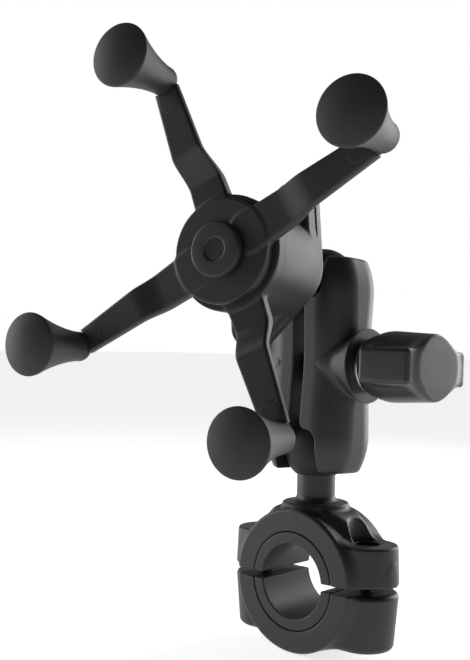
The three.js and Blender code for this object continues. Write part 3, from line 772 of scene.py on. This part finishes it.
def base_pieces():
    """The clamp's castings, sleeve halves and fasteners."""
    wide, deep = SCREW_X + LUG_R + 1, 15.5
    upper = sculpted("clamp_upper_casting", upper_clamp(), (-wide, -deep, 0.5), (wide, deep, 62),
                     PITCH["casting"], IN_BASE)
    finish_piece(upper, "base", "coated", "clamp_upper")
    lower = sculpted("clamp_lower_casting", lower_clamp(), (-wide, -deep, -29.2), (wide, deep, -0.5),
                     PITCH["casting"], IN_BASE)
    finish_piece(lower, "lower_half", "coated", "clamp_lower")
    for name, body, side in (("upper", "base", 1), ("lower", "lower_half", -1)):
        low, high = (0.5, 19.5) if side > 0 else (-19.5, -0.5)
        sleeve = sculpted(f"reducing_sleeve_{name}", sleeve_half(side), (-19.5, -deep, low),
                          (19.5, deep, high), PITCH["casting"], IN_BASE)
        finish_piece(sleeve, body, "sleeve", f"sleeve_{name}")
    for name, side in SIDES:
        clamp_fastener(name, (side * SCREW_X, 0))


def clamp_fastener(name, centre):
    """The screw, the washer and the nut on one side of the clamp."""
    reach, top = 5, HEAD_BOTTOM + HEAD_HEIGHT + 0.6
    screw = joined(socket_head(centre),
                   threaded("Z", SCREW_R, SCREW_PITCH, SCREW_END, HEAD_BOTTOM + 0.5, centre))
    piece = sculpted(f"socket_screw_{name}", screw, (centre[0] - reach, -reach, SCREW_END - 0.7),
                     (centre[0] + reach, reach, top), PITCH["screw"], IN_BASE)
    finish_piece(piece, f"screw_{name}", "black_steel", f"clamp_screw_{name}")
    low, high = COUNTERBORE_FLOOR + GAP, WASHER_TOP
    ring = rounded([(SCREW_HOLE_R, high, 0.1), (SCREW_HOLE_R, low, 0.1),
                    (HEAD_R, low, 0.2), (HEAD_R, high, 0.2)])
    piece = lathed(f"flat_washer_{name}", ring, IN_BASE, centre)
    finish_piece(piece, "base", "steel", f"clamp_washer_{name}")
    reach = 5.2
    nut = hexagon_nut("Z", NUT_FLATS, SCREW_R + GAP, NUT_BOTTOM, NUT_TOP, centre)
    piece = sculpted(f"hexagon_nut_{name}", nut, (centre[0] - reach, -reach, NUT_BOTTOM - 0.7),
                     (centre[0] + reach, reach, NUT_TOP + 0.5), PITCH["nut"], IN_BASE)
    finish_piece(piece, "lower_half", "steel", f"clamp_nut_{name}")


CHAMFER_RUN = 1.7


def hexagon_nut(axis, flats, hole_r, low, high, centre=(0.0, 0.0)):
    """A nut with both faces chamfered by a flat cone."""
    def field(p):
        u, v, w = seen_along(p, axis, centre)
        radial = np.hypot(u, v)
        body = round_max(convex(u, v, hexagon(flats), 0.15), slab(w, low, high), 0.1)
        chamfer = (radial - flats / 2 + slab(w, low, high) * CHAMFER_RUN) * 0.5
        return round_max(round_max(body, chamfer, 0.1), hole_r - radial, 0.3)
    return field


# ---- balls ----
def arc(radius, side, start, end, steps=60):
    """Profile points on a circle, from one angle to another off the side where the neck comes out."""
    angles = np.linspace(start, end, steps)
    return [(radius * math.sin(a), side * radius * math.cos(a)) for a in angles]


def ball_cover(name, neck_r, side, place, body, node):
    """The rubber skin of a ball, cut flat round the neck, which comes out on one side."""
    inner_r, hole_r = BALL_R - BALL_WALL, neck_r + GAP
    flat_r = max(math.sqrt(BALL_R ** 2 - BALL_FLAT ** 2), hole_r + 0.3)
    flat_z = math.sqrt(BALL_R ** 2 - flat_r ** 2)
    start, inner_start = math.asin(flat_r / BALL_R) + 0.04, math.asin(hole_r / inner_r)
    outer = arc(BALL_R, side, start, math.pi)
    inner = arc(inner_r, side, math.pi, inner_start)
    rim = [(hole_r, side * (flat_z - 0.2)), (hole_r + 0.15, side * flat_z), (flat_r - 0.05, side * flat_z)]
    piece = lathed(name, outer + inner + rim, place)
    return finish_piece(piece, body, "ball_rubber", node)


# ---- arm ----
ARM_CORNER = 12.5
ARM_TOP = BALL_SPACING + ARM_OVERHANG
ARM_LENGTH_HALF = ARM_MID + ARM_OVERHANG
WAIST = 1.5
END_DRAW = 3.4                  # the arm's ends are this much smaller all round, over this length
END_DRAW_LENGTH = 14.0
FAN_X = 11.0
FAN_REACH = 12.6
FAN_FOOT_X = 4.0
SLOT_FLOOR = 8.2                # the end slots stop this far inside the ball's centre


def arm_shell(p):
    """Outer shape of a half shell: x is the distance from the split."""
    x, y, z = p[:, 0], np.abs(p[:, 1]), p[:, 2]
    waist = WAIST * (1 - np.cos(2 * math.pi * np.clip(z / BALL_SPACING, 0, 1))) / 2
    beyond = np.abs(z - ARM_MID) - ARM_LENGTH_HALF
    draw = END_DRAW * np.clip(beyond / END_DRAW_LENGTH + 1, 0, 1) ** 2
    plan = round_max(x - ARM_SIDE_X, y - ARM_HALF_WIDTH + waist, ARM_CORNER)
    return round_max(plan + draw, beyond, 1.3)


def fan_boss(p, seat_x, seat_r):
    """The boss that fans out from a point on each edge of the arm to the round seat."""
    x, y, z = p[:, 0], p[:, 1], p[:, 2] - ARM_MID
    t = np.clip((x - FAN_X) / (seat_x - FAN_X), -1, 1.2)
    radius = seat_r * t
    flank = np.hypot(np.maximum(np.abs(y) - FAN_REACH * (1 - t), 0), z) - radius
    slope = math.hypot(1, seat_r / (seat_x - FAN_X))
    return round_max(round_max(flank / slope, x - seat_x, 0.5), FAN_FOOT_X - x, 0.1)


def socket_space(p):
    """What both halves leave free: the gap between them, the balls and the slots for the necks."""
    x, y, z = p[:, 0], p[:, 1], p[:, 2]
    space = round_min(np.abs(x) - ARM_SPLIT_HALF, end_slot(np.abs(x), z), 3.0)
    for centre in (0.0, BALL_SPACING):
        near = np.sqrt(x * x + y * y + (z - centre) ** 2) - BALL_R - GAP
        space = round_min(space, near, 0.2)
    return space


def end_slot(x, z):
    """The slot at either end, with a rounded floor."""
    inwards = np.minimum(z, BALL_SPACING - z)
    return round_max(x - SLOT_HALF, inwards - SLOT_FLOOR, 4.5)


def arm_half(side, seat_x, seat_r):
    """One half of the arm, drawn on the +X side and mirrored for the other."""
    bolt = rod("X", BOLT_HOLE_R, -FAR, FAR, (0, ARM_MID))
    pocket = rod("X", SPRING_POCKET_R, -FAR, SPRING_POCKET_END, (0, ARM_MID))
    head = prism("X", hexagon(BOLT_HEAD_FLATS + 2 * GAP), -BOLT_HEAD_X - GAP, FAR, (0, ARM_MID))

    def field(p):
        q = p * np.array([side, 1.0, 1.0])
        body = round_min(arm_shell(q), fan_boss(q, seat_x, seat_r), 2.2)
        body = round_max(body, -socket_space(q), 0.6)
        body = round_max(body, -bolt(q), 0.5)
        body = round_max(body, -pocket(q), 0.4)
        return body if side > 0 else round_max(body, -head(q), 0.5)
    return field


LIP_START = 9.0                 # the wings' fillets widen over this stretch before the knob's end
LIP_LENGTH = 7.0
FILLET_SMALL = 1.6
FILLET_GAIN = 3.8


def knob_shape(p):
    """The wing knob: a turned hub between two flat wings, with a blind hole for the insert."""
    x, y, z = p[:, 0], p[:, 1], p[:, 2] - ARM_MID
    radial = np.hypot(y, z)
    hub_profile = [(-KNOB_R, KNOB_BACK), (KNOB_FOOT_R, KNOB_BACK), (KNOB_FOOT_R + 0.7, KNOB_BACK + 1.2),
                   (KNOB_R + 0.7, WING_START + 2), (KNOB_R - 0.5, KNOB_END), (-KNOB_R, KNOB_END)]
    hub = convex(radial, x, hub_profile, 0.9)
    wing_plan = round_max(np.abs(y) - WING_REACH, np.abs(z) - WING_HALF, 1.8)
    wings = round_max(wing_plan, slab(x, WING_START, KNOB_END), 2.0)
    lip = np.clip((x - KNOB_END + LIP_START) / LIP_LENGTH, 0, 1)
    fillet = FILLET_SMALL + FILLET_GAIN * lip * lip * (3 - 2 * lip)
    body = round_min(hub, wings, fillet)
    body = round_max(body, x - KNOB_END, 2.0)
    body = round_max(body, KNOB_BACK - x, 0.5)
    hole = round_max(radial - INSERT_R - GAP, x - INSERT_END - GAP, 0.3)
    return round_max(body, -hole, 0.3)


def bolt_shape():
    """The arm's bolt: a chamfered hexagon head with no hole, a plain shank and a thread."""
    head_low, no_hole = BOLT_HEAD_X - BOLT_HEAD_HEIGHT, -5.0
    head = hexagon_nut("X", BOLT_HEAD_FLATS, no_hole, head_low, BOLT_HEAD_X, (0, ARM_MID))
    shank = rod("X", BOLT_R, BOLT_HEAD_X - 1, BOLT_THREAD_START + 2, (0, ARM_MID), edge=0.2)
    thread = threaded("X", BOLT_R, BOLT_PITCH, BOLT_THREAD_START, BOLT_END, (0, ARM_MID))
    return joined(head, shank, thread)


ALONG_X = Matrix(((0, 0, 1, 0), (1, 0, 0, 0), (0, 1, 0, 0), (0, 0, 0, 1)))


def arm_pieces():
    """The arm's halves, knob, bolt and spring."""
    low_z, high_z, deep = -ARM_OVERHANG - 0.5, ARM_TOP + 0.5, 16.2
    near = sculpted("arm_near_shell", arm_half(1, SEAT_X, SEAT_R), (2, -deep, low_z), (23.8, deep, high_z),
                    PITCH["casting"], IN_ARM)
    finish_piece(near, "near_half", "coated", "arm_near_half")
    far = sculpted("arm_far_shell", arm_half(-1, FAR_SEAT_X, FAR_SEAT_R), (-22, -deep, low_z),
                   (-2, deep, high_z), PITCH["casting"], IN_ARM)
    finish_piece(far, "arm", "coated", "arm_far_half")
    knob = sculpted("wing_knob", knob_shape, (24.2, -20.5, ARM_MID - 13.5), (54.8, 20.5, ARM_MID + 13.5),
                    PITCH["knob"], IN_ARM)
    finish_piece(knob, "knob", "knob", "knob")
    reach = 7
    bolt = sculpted("hexagon_bolt", bolt_shape(), (-22.8, -reach, ARM_MID - reach),
                    (40.6, reach, ARM_MID + reach), PITCH["bolt"], IN_ARM)
    finish_piece(bolt, "arm", "steel", "arm_bolt")
    on_axis = IN_ARM @ Matrix.Translation((0, 0, ARM_MID)) @ ALONG_X
    washer = rounded([(BOLT_HOLE_R, KNOB_BACK - GAP, 0.1), (BOLT_HOLE_R, SEAT_X + GAP, 0.1),
                      (KNOB_WASHER_R, SEAT_X + GAP, 0.2), (KNOB_WASHER_R, KNOB_BACK - GAP, 0.2)])
    finish_piece(lathed("thrust_washer", washer, on_axis), "near_half", "steel", "knob_washer")
    insert = rounded([(BOLT_HOLE_R, INSERT_END, 0.3), (BOLT_HOLE_R, KNOB_BACK + GAP, 0.3),
                      (INSERT_R, KNOB_BACK + GAP, 0.3), (INSERT_R, INSERT_END, 0.3)])
    finish_piece(lathed("threaded_insert", insert, on_axis), "knob", "brass", "knob_insert")
    spring = swept_coil("opening_spring", radius=6, wire=0.9, low=-SPRING_END, high=SPRING_END, turns=6,
                        place=on_axis)
    finish_piece(spring, "arm", "steel", "arm_spring")


# ---- phone grip ----
def diamond(p):
    """Plan of the plate and of the housing's flange."""
    end = DIAMOND_HALF - DIAMOND_END_R
    return blend_of_circles(p[:, 0], np.abs(p[:, 1]), DIAMOND_MIDDLE_R, DIAMOND_END_R, end)


def plate_shape():
    """The diamond plate with its neck and the core of the upper ball."""
    neck = rod("Z", UPPER_NECK_R, 0, PLATE_BACK + 2)
    core = ball(CORE_R)
    holes = [rod("Z", SCREW_HOLE_R, 0, FAR, (0, side * PLATE_SCREW_Y)) for side in (-1, 1)]

    def body(p):
        plate = round_max(diamond(p), slab(p[:, 2], PLATE_BACK, PLATE_FRONT), 0.9)
        return round_min(round_min(plate, neck(p), 3.2), core(p), 1.0)
    return cut(body, *holes, edge=0.4)


def housing_shape():
    """The spring's housing with its diamond flange, open to the front."""
    barrel = rod("Z", HOUSING_R, PLATE_FRONT + GAP, HOUSING_FRONT, edge=0.9)
    cavity = rod("Z", HOUSING_R - HOUSING_WALL, NUT_SEAT + 1, GRIP_FAR, edge=1.0)
    seat = rod("Z", PIN_SEAT_R, NUT_SEAT, NUT_SEAT + 5)
    tools = [cavity, seat, rod("Z", PIN_R + GAP, NUT_SEAT - 1, GRIP_FAR)]
    for side in (-1, 1):
        tools.append(rod("Z", SCREW_HOLE_R, 0, FAR, (0, side * PLATE_SCREW_Y)))
        tools.append(prism("Z", hexagon(NUT_FLATS + 2 * GAP), NUT_SEAT, FAR, (0, side * PLATE_SCREW_Y)))

    def body(p):
        flange = round_max(diamond(p), slab(p[:, 2], PLATE_FRONT + GAP, FLANGE_FRONT), 0.9)
        return round_min(barrel(p), flange, 1.6)
    return cut(body, *tools, edge=0.4)


def cap_place(x, y):
    """Where a cap stands: its back's centre at an arm's tip, leaning outwards."""
    sideways = Matrix.Rotation(math.copysign(CAP_SPLAY_X, x), 4, "Y")
    lengthways = Matrix.Rotation(-math.copysign(CAP_SPLAY_Y, y), 4, "X")
    return Matrix.Translation((x, y, CAP_BACK)) @ (sideways @ lengthways)


def grip_arm_shape(back, turn):
    """One of the two crossing arms, with its legs along local X, and a tongue and a peg at each tip."""
    layer = (HOUSING_FRONT + 0.4, LAP_Z - GAP / 2) if back else (LAP_Z + GAP / 2, DISC_FRONT)
    disc = rod("Z", DISC_BACK_R if back else DISC_FRONT_R, *layer, edge=0.6)
    hole = rod("Z", PIN_R + GAP, 0, GRIP_FAR)
    slant = 0.86 if back else 0.96
    upright = Matrix.Rotation(turn, 4, "Z")
    tips = []
    for end in (1, -1):
        tip = upright @ Vector((end * TIP_R, 0, 0))
        tips.append(np.array(cap_place(tip.x, tip.y).inverted() @ upright))

    def field(p):
        x, y, z = np.abs(p[:, 0]), p[:, 1], p[:, 2]
        step = np.clip((x - CRANK_START) / (CRANK_END - CRANK_START), 0, 1)
        step = step * step * (3 - 2 * step)
        low = layer[0] + (BLADE_BACK - layer[0]) * step
        high = layer[1] + (BLADE_FRONT - layer[1]) * step
        plan = blend_of_circles(y, x - LEG_ROOT, LEG_ROOT_HALF, LEG_TIP_HALF, LEG_LENGTH)
        leg = round_max(plan, slab(z, low, high) * slant, 1.0)
        tongue_plan = blend_of_circles(y, x - TIP_R + TONGUE_LENGTH, TONGUE, TONGUE, TONGUE_LENGTH)
        tongue = round_max(tongue_plan, slab(z, BLADE_BACK - TONGUE_DROP, BLADE_FRONT), 0.6)
        peg = None
        for tip in tips:
            q = p @ tip[:3, :3].T + tip[:3, 3]
            radial = np.hypot(q[:, 0], q[:, 1])
            leg = round_max(leg, STEM_R + GAP - radial, 0.5)
            here = round_max(radial - PEG_R, slab(q[:, 2], 1, PEG_LENGTH), 0.6)
            peg = here if peg is None else np.minimum(peg, here)
        body = round_min(disc(p), leg, 1.2)
        body = round_min(body, tongue, 0.3)
        body = round_min(body, peg, 0.3)
        return round_max(body, -hole(p), 0.4)
    return field


FLARE_START = 2.5
FLARE_POWER = 1.65
FLARE_STEPS = 40


def cap_profile():
    """Profile of a rubber cap: a stem that flares into a convex round face, hollow for the peg."""
    flare = []
    for k in range(FLARE_STEPS + 1):
        t = k / FLARE_STEPS
        radius = STEM_R + (CAP_R - STEM_R - 0.2) * t ** FLARE_POWER
        flare.append((radius, FLARE_START + (CAP_LENGTH - 4) * t))
    end = [(STEM_R - 1.4 + 1.4 * math.sin(a), 2.0 - 2.0 * math.cos(a)) for a in np.linspace(0, 85 * DEG, 10)]
    edge_r = 0.75
    edge = [(CAP_R - edge_r + edge_r * math.cos(a), CAP_LENGTH - 0.55 + edge_r * math.sin(a))
            for a in np.linspace(-40 * DEG, 70 * DEG, 10)]
    face_r, face_z = edge[-1]
    dome = CAP_DOME - (face_z - CAP_LENGTH)
    steps = 24
    shares = [1 - k / steps for k in range(1, steps + 1)]
    face = [(face_r * share, face_z + dome * (1 - share ** 2)) for share in shares]
    hole = [(0, PEG_LENGTH + 1), (PEG_R + GAP, PEG_LENGTH + 1), (PEG_R + GAP, 0)]
    return end + flare + edge + face + hole


def grip_pieces():
    """Everything that rides on the upper ball, from the plate to the caps."""
    plate = sculpted("ball_plate_casting", plate_shape(), (-17.6, -31.6, -11.8),
                     (17.6, 31.6, PLATE_FRONT + 0.5), PITCH["casting"], IN_GRIP)
    finish_piece(plate, "grip", "coated", "ball_plate")
    housing = sculpted("spring_housing", housing_shape(), (-19.8, -31.6, PLATE_FRONT),
                       (19.8, 31.6, HOUSING_FRONT + 0.5), PITCH["casting"], IN_GRIP)
    finish_piece(housing, "grip", "grip", "grip_housing")
    for name, side in (("lower", -1), ("upper", 1)):
        plate_fastener(name, (0, side * PLATE_SCREW_Y))
    spring = swept_coil("closing_spring", radius=11, wire=1.4, low=FLANGE_FRONT + 2,
                        high=HOUSING_FRONT - 0.5, turns=5, place=IN_GRIP)
    finish_piece(spring, "grip", "steel", "grip_spring")
    pivot_pieces()
    for name, back, lean in (("a", True, -1), ("b", False, 1)):
        turn = math.atan2(TIP_Y, TIP_X * lean)
        low, high = (HOUSING_FRONT if back else LAP_Z), CAP_BACK + PEG_LENGTH + 1
        reach, deep = TIP_R + 6, DISC_BACK_R + 0.6
        piece = sculpted(f"crossing_arm_{name}", grip_arm_shape(back, turn), (-reach, -deep, low),
                         (reach, deep, high), PITCH["arm"], IN_GRIP @ Matrix.Rotation(turn, 4, "Z"))
        finish_piece(piece, f"swing_{name}", "grip", f"grip_arm_{name}")
    profile = cap_profile()
    for row, y in (("upper", TIP_Y), ("lower", -TIP_Y)):
        for column, x in (("left", -TIP_X), ("right", TIP_X)):
            piece = lathed(f"rubber_cap_{row}_{column}", profile, IN_GRIP @ cap_place(x, y))
            body = "swing_a" if x * y < 0 else "swing_b"
            finish_piece(piece, body, "cap_rubber", f"cap_{row}_{column}")


def pivot_pieces():
    """The pivot's shouldered pin and the ring that covers it."""
    back, front = DISC_FRONT + GAP, DISC_FRONT + 1.5
    pin = rounded([(0, PIN_BACK, 0), (PIN_R, PIN_BACK, 0.5), (PIN_R, back, 0.2), (PIN_HEAD_R, back, 0.3),
                   (PIN_HEAD_R, front, 0.3), (PIN_R, front, 0.2), (PIN_R, PIN_FRONT, 0.5), (0, PIN_FRONT, 0)])
    finish_piece(lathed("pivot_rivet", pin, IN_GRIP), "grip", "black_steel", "pivot_pin")
    hole_r = PIN_R + GAP
    cover = rounded([(hole_r, REST_Z, 0.3), (hole_r, PIVOT_CAP_BACK, 0.2), (PIVOT_CAP_R, PIVOT_CAP_BACK, 0.3),
                     (PIVOT_CAP_R, REST_Z, 0.5)])
    finish_piece(lathed("pivot_cover", cover, IN_GRIP), "grip", "grip", "pivot_cap")


def plate_fastener(name, centre):
    """The screw and the nut at one end of the plate."""
    thread = threaded("Z", SCREW_R, SCREW_PITCH, PLATE_BACK - 1, PLATE_SCREW_END, centre)
    front, reach = FLANGE_FRONT + 1, 5
    piece = sculpted(f"button_screw_{name}", joined(plate_screw_head(centre), thread),
                     (-reach, centre[1] - reach, PLATE_BACK - 3.8), (reach, centre[1] + reach, front),
                     PITCH["screw"], IN_GRIP)
    finish_piece(piece, "grip", "black_steel", f"plate_screw_{name}")
    nut, reach = hexagon_nut("Z", NUT_FLATS, SCREW_R + GAP, NUT_SEAT + GAP, PLATE_SCREW_END, centre), 5.2
    piece = sculpted(f"flange_nut_{name}", nut, (-reach, centre[1] - reach, NUT_SEAT),
                     (reach, centre[1] + reach, front), PITCH["nut"], IN_GRIP)
    finish_piece(piece, "grip", "steel", f"plate_nut_{name}")


BUTTON_R = 4.5
BUTTON_DOME_R = 5.6
BUTTON_SOCKET_FLATS = 3.0
BUTTON_SOCKET_DEPTH = 1.6


def plate_screw_head(centre):
    """A low button head that faces away from the phone."""
    low, high = PLATE_BACK - GAP - 3, PLATE_BACK - GAP

    def field(p):
        u, v, w = seen_along(p, "Z", centre)
        radial = np.hypot(u, v)
        dome = np.sqrt(radial ** 2 + (w - low - BUTTON_DOME_R) ** 2) - BUTTON_DOME_R
        head = round_max(round_max(radial - BUTTON_R, slab(w, low, high), 0.3), dome, 0.3)
        hexagonal = convex(u, v, hexagon(BUTTON_SOCKET_FLATS), 0.1)
        return round_max(head, -round_max(hexagonal, w - low - BUTTON_SOCKET_DEPTH, 0.1), 0.2)
    return field


# ---- studio ----
FLOOR_GAP = 0.0004
FLOOR_SIZE = 12.0
FLOOR_GLOW = 0.75


def add_floor():
    """A pale floor that glows a little, so that it fills the shadows from below."""
    low = cad_box[0].z - FLOOR_GAP
    mesh = bpy.data.meshes.new("studio_floor")
    size = FLOOR_SIZE
    mesh.from_pydata([(-size, -size, low), (size, -size, low), (size, size, low), (-size, size, low)], [],
                     [(0, 1, 2, 3)])
    floor = bpy.data.objects.new("studio_floor", mesh)
    bpy.context.scene.collection.objects.link(floor)
    paper = bpy.data.materials.new("pale_paper")
    paper.use_nodes = True
    shader = paper.node_tree.nodes["Principled BSDF"]
    shader.inputs["Base Color"].default_value = (0.8, 0.8, 0.8, 1)
    shader.inputs["Roughness"].default_value = 0.9
    shader.inputs["Emission Color"].default_value = (1, 1, 1, 1)
    shader.inputs["Emission Strength"].default_value = FLOOR_GLOW
    mesh.materials.append(paper)


WORLD_BACK, WORLD_BACK_TURN = 1.0, -0.55     # strength, and the cosine to the camera's side where it starts
WORLD_FRONT, WORLD_FRONT_TURN = 0.11, 0.35
WORLD_ABOVE, WORLD_ABOVE_TURN = 0.25, 0.35   # share left above, and the sine of the height where it starts


def ranged(tree, source, output, low, high):
    """A smooth step between two (value, strength) pairs of a node's output."""
    step = tree.nodes.new("ShaderNodeMapRange")
    step.interpolation_type = "SMOOTHSTEP"
    step.inputs["From Min"].default_value, step.inputs["To Min"].default_value = low
    step.inputs["From Max"].default_value, step.inputs["To Max"].default_value = high
    wire(tree, source, output, step, "Value")
    return step


def add_world():
    """White surroundings that light most from behind and least from the front and from above."""
    world = bpy.data.worlds.new("studio")
    bpy.context.scene.world = world
    world.use_nodes = True
    tree = world.node_tree
    tree.nodes.clear()
    where = tree.nodes.new("ShaderNodeTexCoord")
    front = tree.nodes.new("ShaderNodeVectorMath")
    front.operation = "DOT_PRODUCT"
    front.inputs[1].default_value = (math.sin(CAMERA_AZIMUTH), -math.cos(CAMERA_AZIMUTH), 0)
    wire(tree, where, "Generated", front, 0)
    dim = ranged(tree, front, "Value", (WORLD_BACK_TURN, WORLD_BACK), (WORLD_FRONT_TURN, WORLD_FRONT))
    height = tree.nodes.new("ShaderNodeSeparateXYZ")
    wire(tree, where, "Generated", height, 0)
    shade = ranged(tree, height, "Z", (0.0, 1.0), (WORLD_ABOVE_TURN, WORLD_ABOVE))
    both = tree.nodes.new("ShaderNodeMath")
    both.operation = "MULTIPLY"
    wire(tree, dim, "Result", both, 0)
    wire(tree, shade, "Result", both, 1)
    shown = tree.nodes.new("ShaderNodeBackground")
    shown.inputs["Color"].default_value = (1, 1, 1, 1)
    lit = tree.nodes.new("ShaderNodeBackground")
    lit.inputs["Color"].default_value = (1, 1, 1, 1)
    wire(tree, both, "Value", lit, "Strength")
    path = tree.nodes.new("ShaderNodeLightPath")
    mix = tree.nodes.new("ShaderNodeMixShader")
    wire(tree, path, "Is Camera Ray", mix, 0)
    wire(tree, lit, "Background", mix, 1)
    wire(tree, shown, "Background", mix, 2)
    out = tree.nodes.new("ShaderNodeOutputWorld")
    wire(tree, mix, "Shader", out, "Surface")


RIM_SIZE = (0.4, 0.8)
RIM_TARGET = Vector((0, 0, 0.09))


def add_rim(name, place, power):
    """An upright soft light from behind, which draws the edges."""
    light = bpy.data.lights.new(name, "AREA")
    light.shape = "RECTANGLE"
    light.size, light.size_y = RIM_SIZE
    light.energy = power
    lamp = bpy.data.objects.new(name, light)
    lamp.location = place
    lamp.rotation_euler = (RIM_TARGET - place).to_track_quat("-Z", "Y").to_euler()
    bpy.context.scene.collection.objects.link(lamp)


def add_lights():
    right = Vector((math.cos(CAMERA_AZIMUTH), math.sin(CAMERA_AZIMUTH), 0))
    ahead = Vector((-math.sin(CAMERA_AZIMUTH), math.cos(CAMERA_AZIMUTH), 0))
    up = Vector((0, 0, 1))
    add_rim("rim_right", right * 0.6 + ahead * 0.45 + up * 0.2, 5)
    add_rim("rim_left", -right * 0.75 + ahead * 0.25 + up * 0.2, 4)


bpy.context.scene.view_settings.view_transform = "Standard"
add_camera()
add_floor()
add_world()
add_lights()
MATERIALS = make_materials()
base_pieces()
lower_place = Matrix.Translation(LOWER_BALL) @ IN_BASE
ball_cover("lower_ball_skin", NECK_R, -1, lower_place, "lower_ball", "lower_ball_cover")
ball_cover("upper_ball_skin", UPPER_NECK_R, 1, IN_GRIP, "upper_ball", "upper_ball_cover")
arm_pieces()
grip_pieces()
